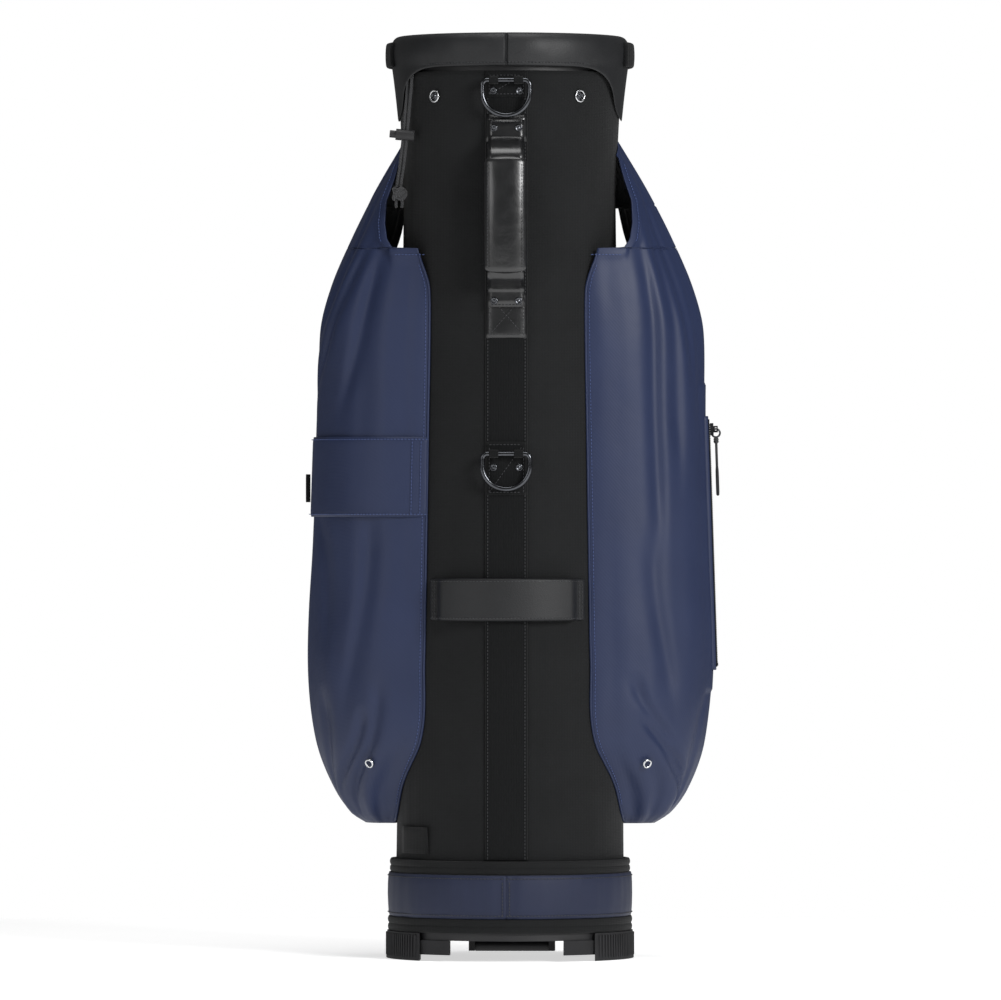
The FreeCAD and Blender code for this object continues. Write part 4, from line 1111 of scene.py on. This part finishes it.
def build_side_pocket(side):
    """One side pocket: two layers of cloth round its oval, its seams and its piping."""
    name = dict(SIDES)[side]
    low, high = POCKET_SHAPE[0][0], POCKET_SHAPE[-1][0]
    levels = [low + (high - low) * i / 230 for i in range(231)]
    levels = sorted(set(levels) | {0.6895, 0.6902, 0.6910, 0.6918, MOUTH, 0.6935, 0.6945})
    columns, thick = 130, 0.0013
    outer, inner, area, widest = [], [], 0.0, 0.0
    for height in levels:
        near, far = pocket_edge(side, height, True), pocket_edge(side, height, False)
        line = [pocket_cloth(side, height, near + (far - near) * j / (columns - 1))
                for j in range(columns)]
        under = []
        for j in range(columns):
            ahead, behind = line[min(j + 1, columns - 1)], line[max(j - 1, 0)]
            way = ahead - behind
            out = Vector((way.y, -way.x, 0)) * side
            out = out.normalized() if out.length > 1e-9 else Vector((side, 0, 0))
            under.append(line[j] - out * thick)
        outer.append(line)
        inner.append(under)
        widest = max(widest, sum((b - a).length for a, b in zip(line, line[1:])))
    for a, b in zip(outer, outer[1:]):
        for j in range(columns - 1):
            area += (a[j + 1] - a[j]).cross(b[j] - a[j]).length / 2
            area += (b[j + 1] - b[j]).cross(b[j + 1] - a[j + 1]).length / 2
    rows = len(levels)
    points = [p for line in outer for p in line] + [p for line in inner for p in line]
    skip = rows * columns
    faces = grid_faces(rows, columns) + [face[::-1] for face in grid_faces(rows, columns, start=skip)]
    first_inner = (rows - 1) * (columns - 1)
    for i in range(rows - 1):
        for j in (0, columns - 1):
            a, b = i * columns + j, (i + 1) * columns + j
            faces.append((a, b, b + skip, a + skip))
    faces.append(tuple(range(columns)))
    faces.append(tuple(skip + j for j in range(columns)))
    cloth = mesh_piece(name + "_pocket_cloth", points, faces, finish("navy"))
    cloth.data.materials.append(finish("lining"))
    for polygon in list(cloth.data.polygons)[first_inner:2 * first_inner]:
        polygon.material_index = 1
    settle(cloth, slot="navy_cloth", nodes=[name + "_side_pocket"])
    long = sum((pocket_point(side, b, 0) - pocket_point(side, a, 0)).length
               for a, b in zip(levels, levels[1:]))

    def along_edge(start, step, count, near, turn, lift):
        """Points up the cloth, some degrees in from its free edge."""
        return [pocket_cloth(side, z, pocket_edge(side, z, near) + turn, lift)
                for z in [start + step * k for k in range(count)]]

    inset = 0.0078    # the hem's stitches, from the free edge
    seams = [[pocket_cloth(side, MOUTH - inset, turn, 0.0006) for turn in range(-96, -58)
              if 0.080 < abs(pocket_point(side, MOUTH - inset, turn).x) < 0.1135],
             along_edge(0.698, 0.0015, 54, True, inset / ARC, 0.0006),
             along_edge(0.700, 0.0015, 28, False, -inset / ARC, 0.0006),
             along_edge(0.150, 0.004, 133, True, 2.6, 0.0005),
             along_edge(0.150, 0.004, 133, False, -2.6, 0.0005)]
    sew(name + "_pocket_stitches", seams, "navy_thread", "navy_cloth")
    border = along_edge(0.134, 0.004, 139, True, 0.4, 0.0001)
    settle(cordage(name + "_pocket_piping", border, 0.0013, finish("navy"), sides=10), slot="navy_cloth")


def build_left_band():
    """The flat band across the left pocket, with its small folded tag."""
    low, high = heights("left_pocket_band")
    columns, rows = 110, 26
    far = 34.0    # degrees round the pocket where the band ends
    points = []

    def turn_at(height, t):
        near = pocket_edge(-1, height, True) + 0.5
        return near + (far - near) * t

    for i in range(rows):
        up = i / (rows - 1)
        height = low + (high - low) * up
        outer, inner = [], []
        for j in range(columns):
            t = j / (columns - 1)
            turn = turn_at(height, t)
            fold = min(0.0012, pocket_folds(-1, height, turn) * 0.4)
            edge = min(up, 1 - up) * (high - low)
            roll = 0.0009 * (1 - smooth_step(0, 0.0022, edge))
            roll += 0.0003 * math.exp(-((edge - 0.004) / 0.0012) ** 2)
            outer.append(pocket_point(-1, height, turn, 0.0022 - fold - roll))
            inner.append(pocket_point(-1, height, turn, 0.0006 - fold))
        points += outer + inner[::-1]
    settle(mesh_piece("left_band_cloth", points, skin_faces(rows, 2 * columns), finish("navy")),
           slot="navy_cloth", nodes=["left_pocket_band"])
    inset = 0.0026
    seams = [[pocket_point(-1, height, turn_at(height, t / 60), 0.0024) for t in range(61)]
             for height in (low + inset, high - inset)]
    seams += [[pocket_point(-1, z, turn_at(z, 0) + turn, 0.0026)
               for z in [low + 0.003 + (high - low - 0.006) * k / 12 for k in range(13)]]
              for turn in (3.6, 8.4)]
    sew("left_band_stitches", seams, "navy_thread", "navy_cloth")

    middle = middle_of("band_tag")
    wide, thick, tall = (high - low for low, high in zip(*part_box("band_tag")))
    path = [(middle + ACROSS * (wide - 0.0012) * (i / 16 - 0.5), UP, Vector((0, -1, 0)))
            for i in range(17)]
    piece = strip("band_tag_cloth", path, tall - 0.0006, thick * 0.96, finish("webbing"), crown=0.02)
    settle(piece, slot="black_webbing", nodes=["band_tag"])


# ------------------------------------------------------------------ belly pockets
def build_belly_pocket(node):
    """A padded pocket on the belly side: a shell around its CAD shape, puffed by air pressure."""
    label = node + "_cloth"
    slack = 0.004    # how far the cloth may bulge past the CAD shape
    channel, channel_depth = 0.0085, 0.1225    # half width and depth of the rod's channel
    cad = bpy.data.objects[node]
    mesh = bpy.data.meshes.new(label)
    shape = bmesh.new()
    shape.from_mesh(cad.data)
    shape.transform(cad.matrix_world)
    bmesh.ops.remove_doubles(shape, verts=shape.verts, dist=0.00005)
    shape.to_mesh(mesh)
    shape.free()
    piece = bpy.data.objects.new(label, mesh)
    bpy.context.scene.collection.objects.link(piece)
    mesh.materials.clear()
    mesh.materials.append(finish("navy"))
    low, high = (Vector(corner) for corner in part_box(node))

    def keep(point):
        """Never into the tube, the rod's channel or past the shape by more than the slack."""
        x = max(low.x - slack, min(high.x + slack, point.x))
        y = min(high.y + slack * 0.6, point.y)
        z = max(low.z - 0.001, min(high.z + 0.002, point.z))
        radius, least = math.hypot(x, y), tube_radius(z) + 0.0003
        if radius < least:
            x, y = x * least / radius, y * least / radius
        if abs(x) < channel and y < channel_depth:
            y = max(y, channel_depth - 0.0003)
        return Vector((x, y, z))

    inflate(piece, keep, pressure=3.0, cap=0.0045, voxel=0.005)
    settle(piece, slot="navy_cloth", nodes=[node])


# ------------------------------------------------------------------ base
BASE_INNER = 0.11575    # where the band and its piping meet the moulded base
BASE_OUTER = 0.1185


def build_base():
    """The cloth band round the base, with a double row of piping above and below it."""
    low, high = heights("base_band")
    middle = (low + high) / 2

    def ease(point, angle):
        """Slightly uneven cloth, with a butted seam in the middle of the spine side."""
        radius = math.hypot(point.x, point.y)
        if radius < 0.1162:
            return point
        from_seam = abs((angle + math.pi) % FULL_TURN - math.pi) * BASE_OUTER
        dip = 0.0013 * math.exp(-(from_seam / 0.0009) ** 2)
        pull = 0.0006 * math.exp(-((from_seam - 0.006) / 0.006) ** 2)
        wave = 0.0006 * noise.noise(Vector((5 * math.sin(angle), 5 * math.cos(angle), point.z * 26)))
        wave += 0.0004 * noise.noise(Vector((13 * math.sin(angle), 13 * math.cos(angle), point.z * 8 + 3)))
        scale = (radius - dip - pull + wave) / radius
        return Vector((point.x * scale, point.y * scale, point.z))

    slot_angle = math.asin(0.0042 / 0.117)
    span = dict(start=math.pi + slot_angle, sweep=FULL_TURN - 2 * slot_angle)
    half = [(BASE_INNER, 0.0002), (0.1180, 0.0004), (0.1188, 0.0030), (0.1194, 0.0110)]
    rise = ([(radius, low + step) for radius, step in half] + [(0.1197, middle)]
            + [(radius, high - step) for radius, step in half[::-1]])
    band = turned("base_band_cloth", rise, finish("band"), angles=1000, shape=ease, **span)
    settle(band, slot="navy_cloth", nodes=["base_band"])
    seam = 0.0034    # from the butted seam to the stitches beside it
    places = ((0.1189, low + 0.003), (0.1196, low + 0.011), (0.1201, middle), (0.1196, high - 0.011),
              (0.1189, high - 0.003))
    seams = [[Vector((side * seam, -math.sqrt(radius * radius - seam ** 2), height))
              for radius, height in places] for side in (-1, 1)]
    around = [turn for turn in [FULL_TURN * k / 300 for k in range(301)] if abs(turn - math.pi) > 0.05]
    seams += [[spoke(turn, 0.1193, height) for turn in around]
              for height in (low + 0.0035, high - 0.0035)]
    sew("base_band_stitches", seams)

    hatch = math.asin(0.0385 / 0.118)    # the lower piping stops beside the foot plate
    lower_span = dict(start=math.pi + hatch, sweep=FULL_TURN - 2 * hatch)
    rows, lap = 2, 0.0002
    for word, angles, ends in (("upper", 220, span), ("lower", 200, lower_span)):
        node = "base_trim_" + word
        low, high = heights(node)
        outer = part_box(node)[1][0]
        profile = [(BASE_INNER, low + lap)]
        for row in range(rows):
            for k in range(9):
                height = low + (high - low) * (row + k / 8) / rows
                swell = math.sin(math.pi * k / 8) ** 0.7
                profile.append((outer - 0.0014 + 0.0012 * swell, max(low + lap, height)))
        profile.append((BASE_INNER, high - lap))
        trim = turned("base_piping_" + word, profile, finish("canvas"), angles=angles, **ends)
        settle(trim, slot="black_canvas", nodes=[node])


# ------------------------------------------------------------------ small hardware
# Turned profiles: (radius, distance out of the cloth)
SNAP_RIM = [(0.0040, 0.0002), (0.0043, 0.0013), (0.0053, 0.0019), (0.0063, 0.0013), (0.0066, 0.0002)]
SNAP_POST = [(0.0, 0.0), (0.0042, 0.0), (0.0042, 0.0008), (0.0030, 0.0010), (0.0027, 0.0026),
             (0.0022, 0.0032), (0.0016, 0.0031), (0.0012, 0.0024), (0.0, 0.0023)]
EYELET = [(0.0026, -0.0004), (0.0029, 0.0010), (0.0036, 0.0016), (0.0044, 0.0014), (0.0050, 0.0006),
          (0.0050, -0.0004)]
RIVET = [(0.0, -0.0004), (0.0037, -0.0004), (0.0039, 0.0004), (0.0035, 0.0012), (0.0026, 0.0015),
         (0.0020, 0.0011), (0.0014, 0.0010), (0.0009, 0.0013), (0.0, 0.0015)]


def fitting(name, profile, seat, out, metal, steps, node):
    """A turned metal fitting on the bag."""
    piece = soften(lathe(name, profile, seat, out, finish(metal), steps))
    settle(piece, slot=metal.replace("metal", "steel"), nodes=[node])


def pocket_seat(side, height, across):
    """The place on a side pocket that far across the bag, and the way out of the cloth there."""
    turn = -60.0
    for _ in range(60):
        miss = abs(pocket_point(side, height, turn).x) - across
        turn -= miss * 600
        if abs(miss) < 0.00005:
            break
    way = pocket_point(side, height, turn + 1) - pocket_point(side, height, turn - 1)
    out = (Vector((way.y, -way.x, 0)) * side).normalized()
    rise = pocket_point(side, height + 0.004, turn) - pocket_point(side, height - 0.004, turn)
    rise.normalize()
    return pocket_point(side, height, turn), (out - rise * out.dot(rise)).normalized()


def build_fittings():
    """The hood snaps, the drain eyelets and the rivets of the tabs."""
    height = middle_of("hood_snaps").z
    for side, word in SIDES:
        angle = side * math.radians(40.3)
        seat = on_tube(angle, height, 0.0003)
        fitting("hood_snap_rim_" + word, SNAP_RIM, seat, spoke(angle), "bright_metal", 40, "hood_snaps")
        fitting("hood_snap_post_" + word, SNAP_POST, seat, spoke(angle), "dark_metal", 40, "hood_snaps")
    for side, word in SIDES:
        seat, out = pocket_seat(side, middle_of("drain_eyelets").z, 0.135)
        fitting("drain_eyelet_" + word, EYELET, seat, out, "bright_metal", 36, "drain_eyelets")
    for label, height, angle, lift in (
            ("upper_ring", 0.842, 6.4, 0.0034), ("lower_ring", 0.478, 6.4, 0.0034),
            ("handle_top", 0.806, 6.0, 0.00685), ("handle_foot", 0.639, 6.0, 0.00685)):
        for side, word in SIDES:
            turn = math.radians(angle * side)
            fitting(f"rivet_{label}_{word}", RIVET, on_tube(turn, height, lift), spoke(turn), "dark_metal",
                    28, "tab_rivets")


def cord_line(name, route, radius):
    """A cord as a smooth curve through its route's control points."""
    curve = bpy.data.curves.new(name, "CURVE")
    curve.dimensions = "3D"
    curve.bevel_depth = radius
    curve.bevel_resolution = 5
    curve.use_fill_caps = True
    curve.resolution_u = 16
    line = curve.splines.new("NURBS")
    line.points.add(len(route) - 1)
    for point, place in zip(line.points, route):
        point.co = (place[0] * MM, place[1] * MM, place[2] * MM, 1)
    line.order_u = 3
    line.use_endpoint_u = True
    curve.materials.append(finish("cord"))
    piece = bpy.data.objects.new(name, curve)
    bpy.context.scene.collection.objects.link(piece)
    return piece


def build_cord():
    """The two strands that hang from the cuff to their knot, whose loops and tails ride with them."""
    routes = {"outer": [(-96.8, -56.5, 864.7), (-97.5, -58.5, 848), (-99.5, -61.5, 826), (-104, -62, 776),
                        (-108, -60.5, 750.9)],
              "inner": [(-92.6, -61.8, 864.7), (-93.8, -62.6, 848), (-95.9, -62.8, 826), (-100.4, -62.9, 776),
                        (-104.4, -61.5, 750.9)]}
    radius = 0.0015
    foot, head = heights("cord_knot")
    heart = middle_of("cord_knot")
    heart.z = head - 0.0066
    loops = []
    for i in range(120):
        t = FULL_TURN * i / 120
        ripple = 0.0044 + 0.0017 * math.cos(3 * t)
        loops.append(heart + Vector((ripple * math.cos(2 * t), ripple * math.sin(2 * t),
                                     0.0050 * math.sin(3 * t))))
    ball = cordage("cord_knot_body", loops, 0.0019, finish("cord"), sides=10, closed=True)
    core = lathe("cord_knot_heart", [(0.0, -0.0062), (0.0036, -0.0050), (0.0058, -0.0018),
                                     (0.0060, 0.0016), (0.0042, 0.0048), (0.0, 0.0060)],
                 heart, UP, finish("cord"), 24)
    knot = [ball, core]
    for side, letter in ((-1, "a"), (1, "b")):
        start = heart + Vector((side * 0.0016, 0, -0.003))
        end = Vector((heart.x + side * 0.0026, heart.y - 0.0006, foot + 0.0004))
        line = [start.lerp(end, k / 8) + ACROSS * (side * 0.0008 * math.sin(math.pi * k / 8))
                for k in range(9)]
        knot.append(cordage("cord_tail_" + letter, line, 0.00145, finish("cord"), sides=12))
    for piece in knot:
        settle(piece, slot="black_cord", nodes=["cord_knot"])
    for label, route in routes.items():
        piece = cord_line(f"umbrella_cord_{label}", route, radius)
        settle(piece, slot="black_cord", nodes=[f"cord_strand_{label}"])


# ------------------------------------------------------------------ zips
ZIPS = {  # centre of the slider's ring, way up the zip, way out of the cloth, travel
    "side": ((0.20091, 0.010, 0.51595), (-0.0326, 0.0, 0.99947), (0.99947, 0.0, 0.0326), 0.218),
    "ball": ((0.0, 0.1455, 0.3652), (0.0, 0.0, 1.0), (0.0, 1.0, 0.0), 0.210),
    "pouch": ((0.0, 0.1355, 0.6302), (0.0, 0.0, 1.0), (0.0, 1.0, 0.0), 0.150)}


def bars(name, places, material):
    """Small blocks: each place is (centre, three half-size vectors)."""
    points, faces = [], []
    for centre, a, b, c in places:
        base = len(points)
        for i in (-1, 1):
            for j, k in ((-1, -1), (1, -1), (1, 1), (-1, 1)):
                points.append(centre + a * i + b * j + c * k)
        faces += [(base, base + 1, base + 2, base + 3), (base + 7, base + 6, base + 5, base + 4)]
        faces += [(base + j, base + 4 + j, base + 4 + (j + 1) % 4, base + (j + 1) % 4) for j in range(4)]
    return mesh_piece(name, points, faces, material, True)


def build_zip(label):
    """A zip on its backing panel: tape, teeth, stop, and the pull on its slider's ring."""
    ring, up, out = (Vector(entry) for entry in ZIPS[label][:3])
    up.normalize()
    out.normalize()
    side = up.cross(out).normalized()
    depth = 0.0065    # from the slider's ring down to the tape
    centre = ring - out * depth - up * 0.0002
    low, high = -ZIPS[label][3] - 0.014, 0.010

    def along_zip(past, sunk):
        """Strip path up the zip, reaching past its ends and sunk into the cloth."""
        return [(centre + up * (low - past + (high - low + 2 * past) * i / 59) - out * sunk, side, out)
                for i in range(60)]

    tape = strip(label + "_zip_cloth", along_zip(0, 0), 0.012, 0.0010, finish("webbing"))
    settle(tape, slot="black_webbing", nodes=[label + "_zip_tape"])
    teeth = []
    end, pitch = 0.003, 0.0022
    for i in range(int((high - low - 2 * end) / pitch)):
        shift = 0.0007 if i % 2 else -0.0007
        teeth.append((centre + up * (low + end + i * pitch) + side * shift + out * 0.00075,
                      side * 0.0016, up * 0.0008, out * 0.00035))
    settle(bars(label + "_zip_teeth", teeth, finish("plastic")), slot="black_plastic")
    stop = centre + up * (low + 0.0024)
    settle(bars(label + "_zip_stop", [(stop + out * 0.0009, side * 0.003, up * 0.0016, out * 0.0005)],
                finish("dark_metal")), slot="dark_steel")
    panel = strip(label + "_zip_panel", along_zip(0.003, 0.0047), 0.026, 0.0082, finish("navy"),
                  columns=21, edge=0.6)
    settle(panel, slot="navy_cloth")
    build_pull(label, ring, up, out)


def build_pull(label, ring, up, out):
    """A zip's pull: a wire ring, a knotted cord and a moulded grip."""
    body = label + "_pull"
    side = up.cross(out).normalized()
    wire_radius = 0.0040
    circle = [ring + (up * (math.cos(turn) - 1) + out * math.sin(turn)) * wire_radius
              for turn in [FULL_TURN * k / 40 for k in range(40)]]
    settle(cordage(body + "_wire", circle, 0.00095, finish("dark_metal"), 12, True), body,
           "dark_steel", [label + "_zip_pull"])
    half = [(0.0022, 0.0), (0.0027, 0.0012), (0.0019, 0.0026), (0.0, 0.0030)]
    knot = lathe(body + "_loop", [(radius, -along) for radius, along in half[:0:-1]] + half,
                 ring - up * 0.0112, up, finish("cord"), 24)
    string = cordage(body + "_string", [ring - up * (0.0125 + 0.0265 * k / 12) for k in range(13)],
                     0.0013, finish("cord"), 12)
    profile = [(-0.0662, 0.0), (-0.0658, 0.75), (-0.0640, 0.97), (-0.0600, 1.0), (-0.0430, 0.96),
               (-0.0390, 0.86), (-0.0376, 0.55), (-0.0372, 0.0)]    # (along, share of the full width)
    points, loop = [], 24
    for along, wide in profile:
        for k in range(loop):
            turn = FULL_TURN * k / loop
            across = swollen(math.cos(turn), 0.6) * 0.0042 * wide
            thick = swollen(math.sin(turn), 0.8) * 0.0017 * wide ** 0.7
            points.append(ring + up * (along + 0.0008) + side * across + out * thick)
    grip = soften(mesh_piece(body + "_grip", points, grid_faces(len(profile), loop, wrap_columns=True),
                             finish("rubber")))
    for piece, slot in ((knot, "black_cord"), (string, "black_cord"), (grip, "black_rubber")):
        settle(piece, body, slot)


# ------------------------------------------------------------------ parts kept as modelled
KEPT = {
    "plastic": ["collar_ring", "base_cup", "foot_plate", "leg_left_head", "leg_right_head",
                "leg_hinge_housing", "rod_guides", "cord_lock", "cord_lock_button"],
    "rubber": ["base_foot_left", "base_foot_right", "leg_left_foot", "leg_right_foot"],
    "dark_metal": ["foot_plate_pin", "upper_d_ring", "lower_d_ring", "leg_hinge_pins",
                   "side_zip_slider", "ball_zip_slider", "pouch_zip_slider"],
    "bright_metal": ["actuator_rod"], "aluminium": ["leg_left_tube", "leg_right_tube"],
    "fibreglass": ["stay_rods"]}


def finish_kept_parts():
    """Give the parts that stay as modelled in CAD their finishes."""
    for material, nodes in KEPT.items():
        for node in nodes:
            slots = bpy.data.objects[node].material_slots
            if not slots:
                raise RuntimeError(f"{node} has no material slot")
            for slot in slots:
                slot.material = finish(material)


def build_foot_ribs():
    """Fine upright ribs round the outside of the moulded feet."""
    for side, word in SIDES:
        low, high = heights("base_foot_" + word)
        low, high = low + 0.003, high - 0.002
        places = []
        for k in range(-20, 21):
            angle = side * math.pi / 2 + math.radians(k * 2.1)
            out = spoke(angle)
            places.append((spoke(angle, 0.1209, (low + high) / 2), out * 0.0005,
                           Vector((out.y, -out.x, 0)) * 0.0010, UP * ((high - low) / 2)))
        settle(bars("foot_ribs_" + word, places, finish("rubber")), slot="black_rubber")


# ------------------------------------------------------------------ room, light and camera
def build_stage():
    """A pale room that lights little but shows white, a floor, three lamps and a long lens."""
    world = bpy.data.worlds.new("pale_room")
    bpy.context.scene.world = world
    world.use_nodes = True
    tree = world.node_tree
    tree.nodes.clear()
    background = add(tree, "ShaderNodeBackground")
    background.inputs["Color"].default_value = (1.0, 1.0, 1.0, 1.0)
    seen = add(tree, "ShaderNodeLightPath")
    strength = add(tree, "ShaderNodeMapRange")
    strength.inputs["To Min"].default_value = 0.13
    strength.inputs["To Max"].default_value = 1.0
    tree.links.new(seen.outputs["Is Camera Ray"], strength.inputs["Value"])
    tree.links.new(strength.outputs["Result"], background.inputs["Strength"])
    output = add(tree, "ShaderNodeOutputWorld")
    tree.links.new(background.outputs["Background"], output.inputs["Surface"])

    corners = [(-4, -4, 0), (4, -4, 0), (4, 0.9, 0), (-4, 0.9, 0)]
    ground = mesh_piece("floor", corners, [(0, 1, 2, 3)], pale_floor(), True)
    ground.location.z = -0.0004
    for name, place, size, power in (    # metres and watts
            ("key_light", (1.7, -2.1, 1.5), 0.9, 62), ("fill_light", (-2.0, -2.6, 1.3), 1.3, 17),
            ("top_light", (0.1, -0.3, 3.0), 1.6, 34)):
        data = bpy.data.lights.new(name, "AREA")
        data.shape = "SQUARE"
        data.size = size
        data.energy = power
        lamp = bpy.data.objects.new(name, data)
        bpy.context.scene.collection.objects.link(lamp)
        lamp.location = place
        aim = Vector((0, 0, 0.45)) - Vector(place)
        lamp.rotation_mode = "QUATERNION"
        lamp.rotation_quaternion = aim.to_track_quat("-Z", "Y")

    data = bpy.data.cameras.new("camera")
    data.lens = 368
    data.sensor_width = 36
    data.clip_start, data.clip_end = 1.0, 60.0
    data.dof.use_dof = False
    camera = bpy.data.objects.new("camera", data)
    bpy.context.scene.collection.objects.link(camera)
    bpy.context.scene.camera = camera
    turn = math.radians(1.9)    # the camera stands a little to the right of straight on
    distance, shift, height = 10.0, -0.0093, 0.4465
    away = spoke(turn)
    across = Vector((math.cos(turn), math.sin(turn), 0))
    camera.location = away * distance + across * shift + UP * height
    camera.rotation_mode = "QUATERNION"
    camera.rotation_quaternion = (-away).to_track_quat("-Z", "Y")
    bpy.context.scene.view_settings.view_transform = "Standard"


def pale_floor():
    """A matt, near-white studio floor."""
    material = bpy.data.materials.new("pale_studio_floor")
    material.use_nodes = True
    shader = material.node_tree.nodes["Principled BSDF"]
    shader.inputs["Base Color"].default_value = (0.86, 0.86, 0.86, 1.0)
    shader.inputs["Roughness"].default_value = 0.9
    shader.inputs["Emission Color"].default_value = (1.0, 1.0, 1.0, 1.0)
    shader.inputs["Emission Strength"].default_value = 0.60
    return material


# ------------------------------------------------------------------ add-on operators
def step(name, label, text, *builds):
    """An operator that runs one or more build functions."""
    def execute(self, context):
        for build in builds:
            build()
        return {"FINISHED"}

    return type("GOLFBAG_OT_" + name, (bpy.types.Operator,), {
        "__doc__": text, "bl_idname": "golfbag." + name, "bl_label": label, "execute": execute})


def build_side_pockets():
    """Both side pockets."""
    for side, _ in SIDES:
        build_side_pocket(side)


def build_belly_pockets():
    """Both pockets on the belly side."""
    for node in ("ball_pocket", "accessory_pocket"):
        build_belly_pocket(node)


def build_zips():
    """Every zip in ZIPS."""
    for label in ZIPS:
        build_zip(label)


OPERATORS = (
    step("tube", "Tube cloth", "Build the woven tube between the stays.", build_tube),
    step("cuff", "Top cuff", "Build the padded cuff, its seams and the side lift handles.", build_cuff),
    step("divider", "Divider", "Build the padded divider covers and the long sleeves.", build_divider),
    step("spine", "Spine", "Build the spine webbing, the sewn tabs and the corner flap.", build_spine),
    step("handle", "Carry handle", "Build the padded grip and its strap ends.", build_handle),
    step("cart_band", "Cart-strap band", "Build the stitched band that a cart's belt passes under.",
         build_cart_band),
    step("side_pockets", "Side pockets", "Build both side pockets with their arm openings.",
         build_side_pockets),
    step("left_band", "Left pocket band", "Build the band across the left pocket and its tag.",
         build_left_band),
    step("belly_pockets", "Belly pockets", "Inflate the ball pocket and the accessory pocket.",
         build_belly_pockets),
    step("zips", "Zips", "Build the three zips and their pulls.", build_zips),
    step("base", "Base", "Build the base band, its piping and the ribs of the feet.", build_base,
         build_foot_ribs),
    step("fittings", "Fittings", "Build the snaps, the drain eyelets and the rivets.", build_fittings),
    step("cord", "Umbrella cord", "Build the two cord strands and their knot.", build_cord),
    step("hardware", "Hard parts", "Finish the rings, legs, housing, rod, pedal and moulded parts.",
         finish_kept_parts),
    step("stage", "Stage", "Make the floor, the lights and the camera.", build_stage))


class GOLFBAG_PT_panel(bpy.types.Panel):
    """Lists the steps that build the bag, with its sizes and colours."""
    bl_idname = "GOLFBAG_PT_panel"
    bl_label = "Golf stand bag"
    bl_space_type = "VIEW_3D"
    bl_region_type = "UI"
    bl_category = "Golf bag"

    def draw(self, context):
        for operator in OPERATORS:
            self.layout.operator(operator.bl_idname)
        for group in (settings(), colours()):
            box = self.layout.box()
            for name in group.__annotations__:
                box.prop(group, name)


CLASSES = (GolfBagShape, GolfBagColours) + OPERATORS + (GOLFBAG_PT_panel,)


def register():
    for item in CLASSES:
        bpy.utils.register_class(item)
    bpy.types.Scene.golf_bag_shape = PointerProperty(type=GolfBagShape)
    bpy.types.Scene.golf_bag_colours = PointerProperty(type=GolfBagColours)


def unregister():
    del bpy.types.Scene.golf_bag_colours
    del bpy.types.Scene.golf_bag_shape
    for item in reversed(CLASSES):
        bpy.utils.unregister_class(item)


def main():
    register()
    for operator in OPERATORS:
        name = operator.bl_idname.split(".")[1]
        getattr(bpy.ops.golfbag, name)()


if __name__ == "__main__":
    main()
